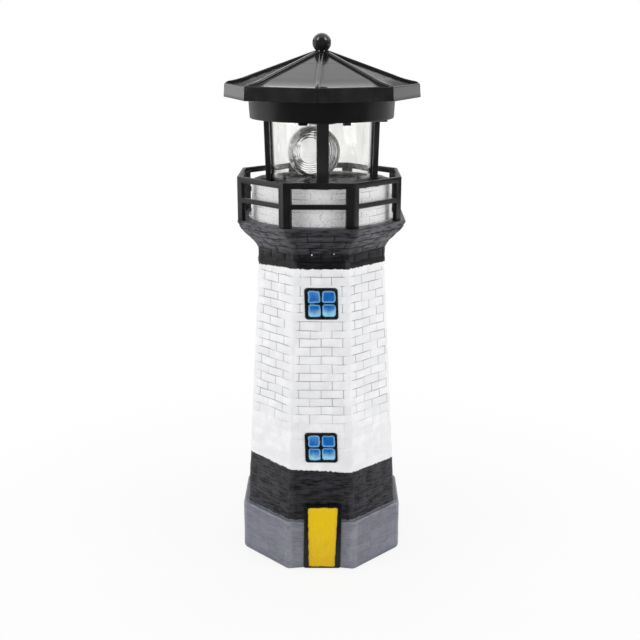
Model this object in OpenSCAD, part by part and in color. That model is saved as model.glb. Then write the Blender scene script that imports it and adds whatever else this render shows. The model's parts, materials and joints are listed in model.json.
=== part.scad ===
// Garden lighthouse ornament with a solar lantern head.
// The origin is the centre of the footprint, +Z is up, and the door faces -Y.

/* [Tower] */
// Width of the base across its flats
base_flats = 84; // [80:0.5:88]
// Height of the grey base
base_h = 27; // [24:0.5:32]
// Corner radius of the base, seen from above
base_corner_r = 4; // [2:0.5:8]
// Width of the tower across its flats where it leaves the base
foot_flats = 78.7; // [75:0.1:79.5]
// Width of the tower across its flats at the top of the white part
top_flats = 63.9; // [60:0.1:70]
// Height of the top of the white part
shaft_top = 158.4; // [150:0.2:165]
// Step outwards from the white part to the black neck
neck_step = 0.3; // [0.1:0.1:0.8]
// Height of the straight black neck
neck_h = 6.6; // [4:0.2:10]
// Height of the flare under the gallery
flare_h = 14.9; // [12:0.1:18]
// Height of the upright edge of the gallery
lip_h = 0.5; // [0.3:0.1:1.5]
// Width of the gallery's ledge outside the railing
gallery_ledge = 1.5; // [1.2:0.1:4]
// Thickness of the cast wall
cast_wall = 5; // [4:0.5:7]
// Diameter of the round drum on the gallery
drum_d = 72; // [71:0.2:74]
// Height of the round drum
drum_h = 17.9; // [17:0.1:20]

/* [Door and windows] */
// Width of the door panel
door_w = 14.2; // [11:0.2:16]
// Height of the top of the door panel
door_h = 34.6; // [31:0.2:38]
// Width of the door frame's bars
door_frame = 2.7; // [1.5:0.1:3.5]
// How far the door frame stands out from the base
door_proud = 0.7; // [0.4:0.1:1.2]
// Sideways place of the door
door_x = 0.5; // [-2:0.1:2]
// Width of a window
window_w = 16.5; // [14:0.1:20]
// Height of a window
window_h = 15.9; // [14:0.1:20]
// Width of one window pane
pane_w = 6.4; // [5:0.1:6.7]
// Height of one window pane
pane_h = 6.2; // [5:0.1:6.5]
// Height of the middle of the lower window
window_low_z = 66.8; // [60:0.2:80]
// Height of the middle of the upper window
window_high_z = 141.5; // [130:0.2:146]
// How far a window frame stands out from the wall
window_proud = 0.7; // [0.4:0.1:1.2]
// Depth of a pane or the door panel below its frame
relief_depth = 0.5; // [0.2:0.1:0.7]

/* [Railing] */
// Gap between the drum and the flat sides of the railing
rail_gap = 2.8; // [2:0.1:4]
// Height of the railing above the gallery
rail_h = 21.6; // [18:0.2:25]
// Thickness of the railing
rail_t = 1.7; // [1.2:0.1:2.4]
// Height of the top rail's section
top_rail_h = 2.85; // [2:0.05:4]
// Height of the middle rail's section
mid_rail_h = 2.4; // [1.5:0.1:3.5]
// Height of the middle rail's underside above the gallery
mid_rail_z = 9.0; // [6:0.2:12]
// Width of each leaf of a corner post
rail_post_w = 3.2; // [2.8:0.1:6]
// How far the railing is glued to the left of the axis
rail_off = 1.1; // [0:0.1:1.2]

/* [Lantern cage] */
// Diameter of the plug that drops into the tower
plug_d = 60; // [56:0.5:62]
// Depth of the plug
plug_h = 14; // [10:0.5:15]
// Wall of the plug
plug_wall = 1.8; // [1.2:0.1:2.5]
// Gap between the plug and its socket
plug_gap = 0.3; // [0.2:0.05:0.5]
// Thickness of the cage's floor plate
plate_t = 2.5; // [2:0.1:3.5]
// Depth of the floor plate's face below the drum's rim
plate_sunk = 0.9; // [0.2:0.1:1.2]
// Width of the white rim left round the floor plate
drum_rim = 1.2; // [0.8:0.1:2]
// Height from the floor plate to the underside of the housing
lantern_h = 31.9; // [30:0.1:34]
// Width of a cage post
post_w = 5.8; // [4:0.1:7]
// Thickness of a cage post
post_t = 2.7; // [2:0.1:3.2]
// Turn of the cage about the upright axis, in degrees
cage_turn = 1.5; // [-5:0.5:5]

/* [Lantern glass] */
// Outer diameter of the clear tube at its top
glass_top_d = 52.8; // [52.4:0.1:54]
// Outer diameter of the clear tube at its foot
glass_foot_d = 51; // [50.6:0.1:52]
// Wall of the clear tube
glass_wall = 1.5; // [1.2:0.1:1.8]
// Depth of the grooves that hold the tube's two ends
glass_groove = 0.8; // [0.5:0.1:1.2]

/* [Housing] */
// Room between the battery holder's corners and the housing's wall
housing_room = 2.32; // [2.2:0.01:4]
// How far the housing widens on each side from its underside to its top
housing_flare = 0.6; // [0.2:0.1:1.5]
// Height of the part of the housing that shows
housing_h = 10; // [9:0.1:12]
// Thickness of the housing's floor
floor_t = 2.2; // [2:0.1:3]
// Wall of the housing
housing_wall = 1.7; // [1.4:0.1:1.8]
// Depth to which the housing's screws bite into the roof's bosses
screw_bite = 8; // [6:0.5:9]
// Turn of the housing's screws about the upright axis, in degrees
screw_turn = -16; // [-20:1:-12]

/* [Roof] */
// Width of the roof across its corners
roof_corners = 98.4; // [96:0.2:104]
// Height of the upright eaves band
fascia_h = 6.4; // [5:0.1:8]
// Inward lean of the eaves band
fascia_lean = 0.5; // [0.2:0.1:1]
// Fall of the roof along a ridge, in mm for each mm outwards
ridge_fall = 0.357; // [0.34:0.001:0.38]
// Radius at which the roof begins to flare
flare_start_r = 35.5; // [33:0.5:38]
// Thickness of the roof's shell
roof_t = 1.8; // [1.4:0.1:2.2]
// Width of a ridge rib
rib_w = 2.4; // [1.8:0.1:3.2]
// Height of a ridge rib above the roof's faces
rib_h = 1.25; // [0.8:0.05:1.6]
// Turn of the roof about the upright axis, in degrees
roof_turn = -2; // [-5:0.5:5]
// Thickness of a solar pane
pane_t = 1; // [0.6:0.1:1.2]
// Distance of a solar pane's top edge from the axis
pane_from = 15; // [13:0.5:20]
// Distance of a solar pane's bottom edge from the axis
pane_to = 32.4; // [28:0.2:32.6]
// Width of the black border between a rib and a solar pane
pane_border = 0.6; // [0.3:0.1:2]
// Gap round a solar pane in its pocket
pane_gap = 0.1; // [0.05:0.05:0.2]
// Diameter of the ball on the roof
ball_d = 9.3; // [8:0.1:11]
// Height of the middle of the ball above the roof's peak
ball_lift = 3.68; // [3:0.02:5]

/* [Lamp and lens] */
// Height of the middle of the lens above the floor plate
lens_z = 13.3; // [13.2:0.1:15]
// Outer diameter of the lens barrel
lens_d = 26; // [22:0.1:26.2]
// Distance of the barrel's open end from the axis
lens_from = 8.6; // [8:0.1:9.5]
// Length of the lens barrel
lens_len = 10.6; // [9:0.1:10.8]
// Wall of the lens barrel
lens_wall = 1.1; // [0.8:0.1:1.6]
// Turn of the lens about the upright axis at rest, in degrees
lens_turn = 18.6; // [0:0.2:30]
// Diameter of the tube that carries the lamp
stalk_d = 4; // [3.6:0.1:4.4]
// Diameter of the lamp
lamp_d = 4.8; // [4:0.1:5]

/* [Gears] */
// Module of the gear teeth
gear_m = 0.5; // [0.48:0.01:0.52]
// Teeth of the lens gear
rotor_teeth = 48; // [46:1:50]
// Teeth of the idler's small gear
idler_small_teeth = 12; // [11:1:13]
// Teeth of the idler's large gear
idler_large_teeth = 40; // [38:1:42]
// Teeth of the motor's pinion
pinion_teeth = 10; // [9:1:12]
// Thickness of the lens gear
rotor_gear_t = 2.4; // [2:0.1:2.6]
// Gap between one layer of gears and the next
layer_gap = 0.5; // [0.4:0.05:0.8]
// Diameter of the lens gear's sleeve
sleeve_d = 10; // [9:0.1:11]
// Running clearance of a turning part in its bearing
run_gap = 0.06; // [0.03:0.01:0.09]
// Diameter of the idler's pin
idler_pin_d = 2; // [1.6:0.1:2.4]
// Direction from the lens gear to the idler, in degrees
idler_dir = 180; // [178:1:182]
// Direction from the idler to the motor, in degrees
motor_dir = -66; // [-68:1:-64]
// Thickness of the gear plate
gear_plate_t = 1.4; // [1.2:0.1:1.8]
// Diameter of the motor
motor_d = 12; // [10:0.1:12.2]
// Length of the motor
motor_len = 11.5; // [9:0.1:11.8]
// Diameter of the motor's shaft
shaft_d = 1; // [0.8:0.1:1.4]

/* [Battery and board] */
// Diameter of the rechargeable cell
cell_d = 10.5; // [10:0.1:10.6]
// Length of the rechargeable cell
cell_len = 30; // [28:0.1:30.5]
// Room for the spring at the end of the cell
spring_room = 3; // [2.5:0.1:3.5]
// Wall of the battery holder
holder_wall = 0.8; // [0.6:0.1:0.9]
// Distance of the battery holder from the axis
holder_y = 14.2; // [14:0.1:14.6]
// Direction of the circuit board from the axis, in degrees from the front
board_dir = 23; // [21:1:25]
// Length of the board from its inner to its outer edge
board_len = 14.1; // [13:0.1:14.4]
// Gap between the board's outer edge and the housing's wall
board_gap = 1.7; // [1.5:0.1:2.5]
// Width of the board
board_w = 16.8; // [15:0.1:17]
// Thickness of the board
board_t = 1; // [0.8:0.1:1.6]
// Travel of the switch
switch_travel = 2.4; // [1.5:0.1:2.6]
// Width of the switch's knob
knob_w = 3.4; // [2.5:0.1:3.6]
// How far the knob stands out under the housing
knob_proud = 1.5; // [0.8:0.1:2]
// Radius of an insulated lead
lead_r = 0.45; // [0.3:0.05:0.55]

/* [Hidden] */
$fn = 96;

// gaps between pieces
touch = 0.02;
seat_gap = 0.05;
body_gap = 0.35;
cut = 1;

// geometry of a regular octagon
oct_half = 22.5;
function corner_r(flats) = flats / 2 / cos(oct_half);

// tower
rail_flats = drum_d + 2 * (rail_gap + rail_t);
gallery_flats = rail_flats + 2 * gallery_ledge;
gallery_z = shaft_top + neck_h + flare_h + lip_h;
drum_top = gallery_z + drum_h;
drum_lean = 0.3;
plate_top = drum_top - plate_sunk;
plate_under = plate_top - plate_t;
plate_r = drum_d / 2 - drum_lean - drum_rim;
socket_r = plug_d / 2 + plug_gap;
socket_floor = plate_under - plug_h - plug_gap;
shoulder_w = 6;
shoulder_t = 8;
hollow_top = socket_floor - shoulder_t;
neck_flats = top_flats + 2 * neck_step;
flare_steps = 8;
key_w = 3.2;
key_t = 1.1;
edge_bevel = 0.8;
fine_edge = 0.4;
root = 1.5;
door_sill = 1.5;
wall_slope = atan((foot_flats - top_flats) / 2 / (shaft_top - base_h));
function shaft_apothem(z) =
    foot_flats / 2 - (z - base_h) / (shaft_top - base_h) * (foot_flats - top_flats) / 2;

// lantern
housing_z = plate_top + lantern_h;
glass_foot_z = plate_top - glass_groove + touch;
glass_top_z = housing_z + glass_groove - touch;
glass_lean = (glass_top_d - glass_foot_d) / 2 / (glass_top_z - glass_foot_z);
function glass_r(z) = glass_foot_d / 2 + glass_lean * (z - glass_foot_z);
post_tongue = [1.5, 3.4];

// battery holder and the housing round it
holder_len = cell_len + spring_room + 2 * holder_wall + 0.6;
holder_w = cell_d + 0.4 + 2 * holder_wall;
housing_in_r = norm([holder_len / 2, holder_y + holder_w]) + housing_room;
housing_foot_r = housing_in_r + housing_wall;
housing_top_r = housing_foot_r + housing_flare;
boss_r = 2.6;
screw_circle_r = housing_in_r - boss_r - 0.3;

// housing and roof
floor_top = housing_z + floor_t;
housing_top = housing_z + housing_h;
fascia_top = housing_top + fascia_h;
eave_r = roof_corners / 2;
eave_top_r = eave_r - fascia_lean;
soffit_drop = 0.8;
soffit_t = 1.6;
lip_w = 1.1;
flare_fall = 3.3;
flare_z = fascia_top + flare_fall;
peak_z = flare_z + flare_start_r * ridge_fall;
face_fall = ridge_fall / cos(oct_half);
face_slope = atan(face_fall);
roof_drop = roof_t / cos(face_slope);
bend = function (a, b, c, t)
    (1 - t) * (1 - t) * a + 2 * t * (1 - t) * b + t * t * c;
bend_steps = 6;
face_outline = [
    for (k = [0:bend_steps])
        bend([flare_start_r, flare_z],
             [flare_start_r + 6, flare_z - 6 * ridge_fall - 0.35],
             [eave_top_r - lip_w, fascia_top], k / bend_steps)
];
rib_outline = [
    for (k = [0:bend_steps])
        bend([flare_start_r, flare_z + rib_h],
             [flare_start_r + 5, flare_z + rib_h - 5 * ridge_fall - 0.95],
             [eave_top_r - 2.4, fascia_top + 1.1], k / bend_steps)
];
boss_top = peak_z - face_fall * (screw_circle_r + boss_r) - 0.3;
screw_r = 1.2;
screw_head_r = 2.3;
screw_head_h = 1.3;
finial_stem_r = 1.6;
collar_r = 3.3;
collar_h = 1.1;
stem_depth = 4;
collar_sink = 1;

// gear train
tooth_angle = 25;
addendum = 0.8 * gear_m;
dedendum = 1.1 * gear_m;
backlash = 0.12;
function pitch_r(teeth) = teeth * gear_m / 2;
idler_dist = pitch_r(rotor_teeth) + pitch_r(idler_small_teeth);
motor_dist = pitch_r(idler_large_teeth) + pitch_r(pinion_teeth);
idler_at = idler_dist * [cos(idler_dir), sin(idler_dir)];
motor_at = idler_at + motor_dist * [cos(motor_dir), sin(motor_dir)];
rotor_z = floor_top + layer_gap;
rotor_top = rotor_z + rotor_gear_t;
wheel_z = rotor_top + layer_gap;
wheel_t = 1.8;
wheel_top = wheel_z + wheel_t;
gear_plate_z = wheel_top + layer_gap + 0.4;
gear_plate_top = gear_plate_z + gear_plate_t;
bearing_r = sleeve_d / 2 + run_gap;
bearing_ring_w = 2;
sleeve_bore_r = stalk_d / 2 + body_gap;
carrier_t = 2.6;
carrier_z = housing_z - body_gap - carrier_t;
pillar_r = 2.3;
pillar_screw_r = 0.9;
small_head_r = 1.8;
small_head_h = 1.1;
pillars = [[15.5, -5], [-2.2, -17.6], [-28, -7], [14, 9]];
plate_corners = [[-31, -9.5], [-24, -20], [0.5, -20.2], [18.5, -8], [18.5, 11.6], [-22, 11.6]];

// lamp and lens
lens_mid_z = plate_top + lens_z;
lens_r = lens_d / 2;
lamp_len = 8.4;
lamp_top = lens_mid_z + lamp_len / 2;
stalk_wall = 0.6;
arm_from = sleeve_d / 2 + 1.6;
tab_at = lens_from + lens_len / 2;
tab_w = 4;
tab_t = 2;
fresnel_steps = 6;

// battery and board
holder_floor = 1;
holder_z = floor_top + seat_gap;
holder_h = 7.5;
cell_z = holder_z + holder_floor + cell_d / 2 + seat_gap;
cell_y = holder_y + holder_w / 2;
contact_t = 0.3;
cell_x = (holder_len / 2 - holder_wall - contact_t - 0.15) - cell_len / 2;
board_from = housing_in_r - board_gap - board_len;
standoff_h = 2;
board_z = floor_top + standoff_h;
board_top = board_z + board_t;
standoff_r = 1.9;
board_screw_at = [8, 6.2];
board_screw_len = 2.6;
plate_screw_len = 5;
switch_y = board_len - 1.5;
switch_size = [8.4, 4.2];
switch_wall = 0.35;
knob_depth = 2;
knob_flange = 0.45;
lead_spread = 1.5;
lead_face_r = 22.4;
led_lead_r = 0.3;
led_pads = [[-6.8, 1.8], [-5, 1.8]];
motor_pads = [[-6.8, 4.9], [-5, 4.9]];
solar_pads = [[-2.3, 3.9], [0.3, 3.9]];
battery_pads = [[5.3, 2], [7.1, 2]];
chip_at = [-2, 6.9];
chip_size = [4.2, 3.2, 1.3];
capacitor_at = [3.2, 5.5];
capacitor_size = [1.5, 2.2];
resistor_x = [-3, 1];
resistor_y = 11.7;
resistor_size = [2, 1.2, 0.7];

// routes of the free leads, as points above the gears and the motor
positive_route = [[20.5, 10, 0], [20.5, -8, 0]];
negative_route = [[-9, 11, 2], [4, 3, 3], [12, -8, 1]];
lead_rise = 1.4;
motor_route = [[0.2, -17, -3], [0.2, -18.6, -3]];
led_route = [[1, -12, 5], [3, -12, 5]];

// point on the board's plan, and point under the solar pane that the leads start from
function board_point(q) =
    let (y = board_from + q[1])
        [q[0] * cos(board_dir) + y * sin(board_dir), q[0] * sin(board_dir) - y * cos(board_dir)];
function pane_point(w) =
    let (a = roof_turn + oct_half)
        [lead_face_r * sin(a) + w * cos(a), w * sin(a) - lead_face_r * cos(a)];
function at_z(q, z) = [q[0], q[1], z];
lead_drop = 7.5;
function pad_end(q) =
    [at_z(board_point(q), board_top + lead_drop), at_z(board_point(q), board_top + touch)];

// places a child in the board's own frame: X runs along the rim, Y outwards from its inner edge
module on_board()
    rotate([0, 0, board_dir]) mirror([0, 1, 0]) translate([0, board_from, 0]) children();

module octagon(flats) rotate(oct_half) circle(r = corner_r(flats), $fn = 8);

// upright octagonal loft through [half width, height] points, flat side to the front
module octagonal(points)
    rotate([0, 0, oct_half])
        rotate_extrude($fn = 8)
            polygon([for (p = points) [p[0] / cos(oct_half), p[1]]]);

// tube through a list of points, with rings square to the path
function unit(v) = v / norm(v);
function heading(pts, k) =
    k == 0 ? unit(pts[1] - pts[0]) :
    k == len(pts) - 1 ? unit(pts[k] - pts[k - 1]) :
    unit(unit(pts[k] - pts[k - 1]) + unit(pts[k + 1] - pts[k]));
function across(d) = unit(cross(d, abs(d[2]) > 0.8 ? [0, 1, 0] : [0, 0, 1]));
function side(pts, k) =
    k == 0 ? across(heading(pts, 0)) :
    let (before = side(pts, k - 1), d = heading(pts, k)) unit(before - (before * d) * d);
module lead(pts, r = lead_r, sides = 8) {
    n = len(pts);
    rings = [
        for (k = [0:n - 1])
            let (d = heading(pts, k), u = side(pts, k), w = cross(d, u))
                for (s = [0:sides - 1])
                    pts[k] + r * (cos(360 * s / sides) * u + sin(360 * s / sides) * w)
    ];
    skin = [
        for (k = [0:n - 2], s = [0:sides - 1])
            let (a = k * sides + s, b = k * sides + (s + 1) % sides)
                each [[a, b + sides, b], [a, a + sides, b + sides]]
    ];
    ends = [[for (s = [0:sides - 1]) s], [for (s = [sides - 1:-1:0]) (n - 1) * sides + s]];
    polyhedron(rings, concat(ends, skin));
}

// involute gear outline with thinned teeth; tooth 0 is centred on +X
function roll(base, r) = sqrt(max(0, r * r / (base * base) - 1)) * 180 / PI;
function inv_deg(base, r) = roll(base, r) - atan(roll(base, r) * PI / 180);
function flank_half(teeth, r) =
    let (p = pitch_r(teeth), b = p * cos(tooth_angle))
        (90 / teeth) - (backlash / 2 / p) * 180 / PI + inv_deg(b, p) - inv_deg(b, max(r, b));
module gear(teeth, h, bore_r) {
    p = pitch_r(teeth);
    root = p - dedendum;
    tip = p + addendum;
    flank_steps = 4;
    low = max(root, p * cos(tooth_angle));
    radii = [for (k = [0:flank_steps]) low + (tip - low) * k / flank_steps];
    outline = [
        for (t = [0:teeth - 1])
            let (mid = 360 * t / teeth)
                for (q = concat(
                    [[root, -flank_half(teeth, low)]],
                    [for (r = radii) [r, -flank_half(teeth, r)]],
                    [for (k = [flank_steps:-1:0]) [radii[k], flank_half(teeth, radii[k])]],
                    [[root - 0.001, flank_half(teeth, low)]]))
                    q[0] * [cos(mid + q[1]), sin(mid + q[1])]
    ];
    difference() {
        linear_extrude(h) polygon(outline);
        translate([0, 0, -cut]) cylinder(r = bore_r, h = h + 2 * cut);
    }
}

// pan-head screw with its head's seat at the origin and its shank along +Z
module screw(r, length, head_r, head_h) {
    translate([0, 0, -head_h])
        difference() {
            union() {
                cylinder(r = head_r, h = head_h * 0.55);
                translate([0, 0, head_h * 0.55 - touch])
                    cylinder(r = head_r, h = head_h * 0.45 + touch);
            }
            for (a = [0, 90])
                rotate([0, 0, a])
                    translate([-head_r * 0.6, -0.2, -cut])
                        cube([head_r * 1.2, 0.4, cut + head_h * 0.5]);
        }
    translate([0, 0, -touch]) cylinder(r = r, h = length + touch);
}

// ---- tower ----

module wall_panel(z, w, h) {
    translate([0, -shaft_apothem(z), z])
        rotate([-wall_slope, 0, 0])
            translate([-w / 2, -window_proud, -h / 2])
                cube([w, window_proud + root, h]);
}

module window_panes(z) {
    bar_x = (window_w - 2 * pane_w) / 3;
    bar_z = (window_h - 2 * pane_h) / 3;
    translate([0, -shaft_apothem(z), z])
        rotate([-wall_slope, 0, 0])
            for (i = [0, 1], k = [0, 1])
                translate([-window_w / 2 + bar_x + i * (pane_w + bar_x), -window_proud - cut,
                           -window_h / 2 + bar_z + k * (pane_h + bar_z)])
                    cube([pane_w, cut + relief_depth, pane_h]);
}

module door_block() {
    outer_w = door_w + 2 * door_frame;
    front = -base_flats / 2 - door_proud;
    back = -foot_flats / 2 + 2 * root;
    translate([door_x - outer_w / 2, front, 0])
        cube([outer_w, back - front, door_h + door_frame]);
}

module door_panel_pocket() {
    translate([door_x - door_w / 2, -base_flats / 2 - door_proud - cut, door_sill])
        cube([door_w, cut + relief_depth, door_h - door_sill]);
}

module tower_casting() {
    flare = [
        for (k = [0:flare_steps])
            let (t = k / flare_steps, s = t * t * (3 - 2 * t))
                [neck_flats / 2 + s * (gallery_flats - neck_flats) / 2,
                 shaft_top + neck_h + t * flare_h]
    ];
    outside = concat(
        [[0, base_h - root], [foot_flats / 2, base_h - root], [foot_flats / 2, base_h],
         [top_flats / 2, shaft_top - fine_edge], [neck_flats / 2, shaft_top]],
        flare,
        [[gallery_flats / 2, gallery_z - fine_edge / 2],
         [gallery_flats / 2 - fine_edge, gallery_z], [0, gallery_z]]);
    inside = [
        [0, -cut], [foot_flats / 2 - cast_wall, -cut], [foot_flats / 2 - cast_wall, base_h],
        [top_flats / 2 - cast_wall, shaft_top], [top_flats / 2 - cast_wall, hollow_top],
        [0, hollow_top]
    ];
    color("whitesmoke")
        difference() {
            union() {
                intersection() {
                    linear_extrude(base_h) octagon(base_flats);
                    base_round();
                }
                octagonal(outside);
                translate([0, 0, gallery_z - touch])
                    cylinder(r1 = drum_d / 2, r2 = drum_d / 2 - drum_lean,
                             h = drum_h + touch);
                door_block();
                for (z = [window_low_z, window_high_z]) wall_panel(z, window_w, window_h);
            }
            door_panel_pocket();
            for (z = [window_low_z, window_high_z]) window_panes(z);
            octagonal(inside);
            translate([0, 0, hollow_top - cut])
                cylinder(r = socket_r - shoulder_w, h = drum_top - hollow_top + 2 * cut);
            translate([0, 0, socket_floor])
                cylinder(r = socket_r, h = drum_top - socket_floor + cut);
            translate([0, 0, plate_under])
                cylinder(r = plate_r + plug_gap, h = drum_top - plate_under + cut);
            for (a = [0, 180])
                rotate([0, 0, a])
                    translate([0, -key_w / 2 - plug_gap, socket_floor])
                        cube([socket_r + key_t, key_w + 2 * plug_gap,
                              drum_top - socket_floor + cut]);
        }
}

// upright cylinder that rounds the base's corners, with a bevel at both edges
module base_round() {
    r = corner_r(base_flats) - base_corner_r * (1 / cos(oct_half) - 1);
    rotate_extrude()
        polygon([[0, 0], [r - edge_bevel, 0], [r, edge_bevel],
                 [r, base_h - edge_bevel], [r - edge_bevel, base_h], [0, base_h]]);
}

module gallery_railing() {
    post_turn = 45;
    color("#1b1b1d")
        translate([-rail_off, 0, gallery_z + seat_gap])
            difference() {
                union() {
                    translate([0, 0, rail_h - top_rail_h])
                        linear_extrude(top_rail_h) octagon(rail_flats);
                    translate([0, 0, mid_rail_z])
                        linear_extrude(mid_rail_h) octagon(rail_flats);
                    intersection() {
                        linear_extrude(rail_h) octagon(rail_flats);
                        for (k = [0:7])
                            rotate([0, 0, oct_half + k * post_turn])
                                translate([corner_r(rail_flats) / 2, -rail_post_w, 0])
                                    cube([corner_r(rail_flats), 2 * rail_post_w, rail_h]);
                    }
                }
                translate([0, 0, -cut])
                    linear_extrude(rail_h + 2 * cut) octagon(rail_flats - 2 * rail_t);
            }
}

// ---- lantern ----

module cage_post() {
    foot_r = glass_r(plate_top) + seat_gap;
    top_r = glass_r(housing_z) + seat_gap;
    seat = plate_top - plate_t / 2;
    rotate([90, 0, 0])
        translate([0, 0, -post_w / 2])
            linear_extrude(post_w)
                polygon([[foot_r, seat], [foot_r + post_t, seat],
                         [foot_r + post_t, plate_top],
                         [top_r + post_t, housing_z - touch], [top_r, housing_z - touch],
                         [foot_r, plate_top]]);
    translate([tongue_r(), 0, 0])
        translate([-post_tongue[0] / 2, -post_tongue[1] / 2, housing_z - root])
            cube([post_tongue[0], post_tongue[1], floor_t - seat_gap + root]);
}

function tongue_r() = glass_r(housing_z) + seat_gap + post_t / 2;

module glass_ring(z, h, gap) {
    difference() {
        cylinder(r = glass_r(z) + gap, h = h);
        translate([0, 0, -cut])
            cylinder(r = glass_r(z) - glass_wall - gap - 0.1, h = h + 2 * cut);
    }
}

module lantern_cage() {
    vent_r = 1.3;
    color("#1b1b1d")
        rotate([0, 0, cage_turn])
            difference() {
                union() {
                    translate([0, 0, plate_under + touch])
                        cylinder(r = plate_r, h = plate_t - touch);
                    translate([0, 0, plate_under - plug_h])
                        cylinder(r = plug_d / 2, h = plug_h + cut);
                    rotate([0, 0, -cage_turn])
                        for (a = [0, 180])
                            rotate([0, 0, a])
                                translate([0, -key_w / 2, plate_under - plug_h])
                                    cube([plug_d / 2 + key_t, key_w, plug_h + cut]);
                    for (k = [0:3]) rotate([0, 0, 90 * k]) cage_post();
                }
                translate([0, 0, plate_under - plug_h - cut])
                    cylinder(r = plug_d / 2 - plug_wall, h = plug_h + cut);
                translate([0, 0, plate_top - glass_groove])
                    glass_ring(plate_top, glass_groove + 0.1, seat_gap);
                for (p = [[-20, 3], [-7.6, 3], [7, 6], [18.5, 7]])
                    translate([p[0], p[1], plate_under - cut])
                        cylinder(r = vent_r, h = plate_t + 2 * cut, $fn = 32);
            }
}

module lantern_glass() {
    color("lightcyan", 0.35)
        difference() {
            translate([0, 0, glass_foot_z])
                cylinder(r1 = glass_foot_d / 2, r2 = glass_top_d / 2,
                         h = glass_top_z - glass_foot_z);
            translate([0, 0, glass_foot_z - cut])
                cylinder(r1 = glass_r(glass_foot_z - cut) - glass_wall,
                         r2 = glass_r(glass_top_z + cut) - glass_wall,
                         h = glass_top_z - glass_foot_z + 2 * cut);
        }
}

// ---- housing and roof ----

module at_screws()
    for (k = [0:3])
        rotate([0, 0, screw_turn + 90 * k])
            translate([0, -screw_circle_r, 0])
                children();

module housing_drum() {
    lean = housing_flare / housing_h;
    soffit_z = housing_top + soffit_drop;
    soffit_top = soffit_z + soffit_t;
    slot_l = knob_w + switch_travel + 2 * body_gap;
    color("#1b1b1d")
        difference() {
            union() {
                translate([0, 0, housing_z])
                    cylinder(r1 = housing_foot_r,
                             r2 = housing_top_r + lean * (soffit_top - housing_top),
                             h = soffit_top - housing_z);
                rotate([0, 0, roof_turn - oct_half])
                    translate([0, 0, soffit_z])
                        linear_extrude(soffit_t)
                            octagon(2 * (eave_r * cos(oct_half) - fascia_lean
                                         - roof_t - 2 * seat_gap));
            }
            difference() {
                translate([0, 0, floor_top])
                    cylinder(r = housing_in_r, h = soffit_top - floor_top + cut);
                at_pillars() cylinder(r = pillar_r, h = gear_plate_z - seat_gap);
                at_standoffs() cylinder(r = standoff_r, h = board_z - touch);
                cylinder(r = bearing_r + bearing_ring_w, h = rotor_z - 0.1);
                translate([idler_at[0], idler_at[1], 0])
                    cylinder(r = idler_pin_d / 2 + 0.8, h = rotor_z - 0.2);
            }
            translate([0, 0, housing_z - cut]) cylinder(r = bearing_r, h = 2 * floor_t + cut);
            at_pillars()
                translate([0, 0, floor_top + 1])
                    cylinder(r = pillar_screw_r + touch, h = gear_plate_z - floor_top,
                             $fn = 32);
            at_standoffs()
                translate([0, 0, floor_top - 1])
                    cylinder(r = pillar_screw_r + touch, h = standoff_h + 2, $fn = 32);
            translate([idler_at[0], idler_at[1], housing_z + 0.8])
                cylinder(r = idler_pin_d / 2 + touch, h = floor_t + 1, $fn = 48);
            at_screws()
                translate([0, 0, housing_z - cut]) cylinder(r = screw_r + 0.2, h = 2 * cut + floor_t);
            rotate([0, 0, cage_turn])
                translate([0, 0, housing_z - 0.1])
                    glass_ring(housing_z, glass_groove + 0.1, seat_gap);
            for (k = [0:3])
                rotate([0, 0, cage_turn + 90 * k])
                    translate([tongue_r() - post_tongue[0] / 2 - 0.1,
                               -post_tongue[1] / 2 - 0.1, housing_z - cut])
                        cube([post_tongue[0] + 0.2, post_tongue[1] + 0.2, 2 * cut + floor_t]);
            on_board()
                translate([-knob_w / 2 - body_gap, switch_y - knob_depth / 2 - body_gap,
                           housing_z - cut])
                    cube([slot_l, knob_depth + 2 * body_gap, floor_t + 2 * cut]);
        }
}

module at_pillars() for (p = pillars) translate([p[0], p[1], 0]) children();

module at_standoffs()
    on_board()
        for (s = [-1, 1])
            translate([s * board_screw_at[1], board_screw_at[0], 0])
                children();

module housing_screws() {
    color("#26262a")
        at_screws()
            translate([0, 0, housing_z - touch])
                screw(screw_r, floor_t + screw_bite, screw_head_r, screw_head_h);
}

module roof_rib() {
    inner = 4;
    root = 0.8;
    for (layer = [[rib_w, 0.35], [rib_w - 0.8, 0]])
        rotate([90, 0, 0])
            translate([0, 0, -layer[0] / 2])
                linear_extrude(layer[0])
                    polygon(concat(
                        [[inner, peak_z - inner * ridge_fall - root],
                         [inner, peak_z - inner * ridge_fall + rib_h - layer[1]]],
                        [for (p = rib_outline) [p[0], p[1] - layer[1]]],
                        [[eave_top_r - 0.9, fascia_top + 0.75 - layer[1]],
                         [eave_top_r - 0.35, fascia_top - 0.2],
                         [eave_top_r - 1.2, fascia_top - root]],
                        [for (k = [bend_steps:-1:0])
                            [face_outline[k][0], face_outline[k][1] - root]]));
}

module roof_body() {
    outside = concat(
        [[0, housing_top], [eave_r, housing_top], [eave_top_r, fascia_top],
         [eave_top_r - 0.25, fascia_top + 0.35], [eave_top_r - lip_w + 0.2, fascia_top + 0.35]],
        [for (k = [bend_steps:-1:0]) face_outline[k]],
        [[0, peak_z]]);
    rotate_extrude($fn = 8) polygon(outside);
}

module roof_hollow() {
    wall = roof_t / cos(oct_half);
    inside = concat(
        [[0, housing_top - cut], [eave_r - wall, housing_top - cut],
         [eave_top_r - wall, fascia_top - roof_t]],
        [for (k = [bend_steps - 1:-1:0]) face_outline[k] - [0.6, roof_drop]],
        [[0, peak_z - roof_drop]]);
    rotate_extrude($fn = 8) polygon(inside);
}

// places a child on face k of the roof: X across, Y down the slope, Z out of the face
module on_face(k)
    rotate([0, 0, roof_turn + oct_half + 45 * k])
        translate([0, 0, peak_z])
            rotate([-face_slope, 0, 0])
                rotate([0, 0, 180])
                    mirror([0, 1, 0])
                        children();

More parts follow.
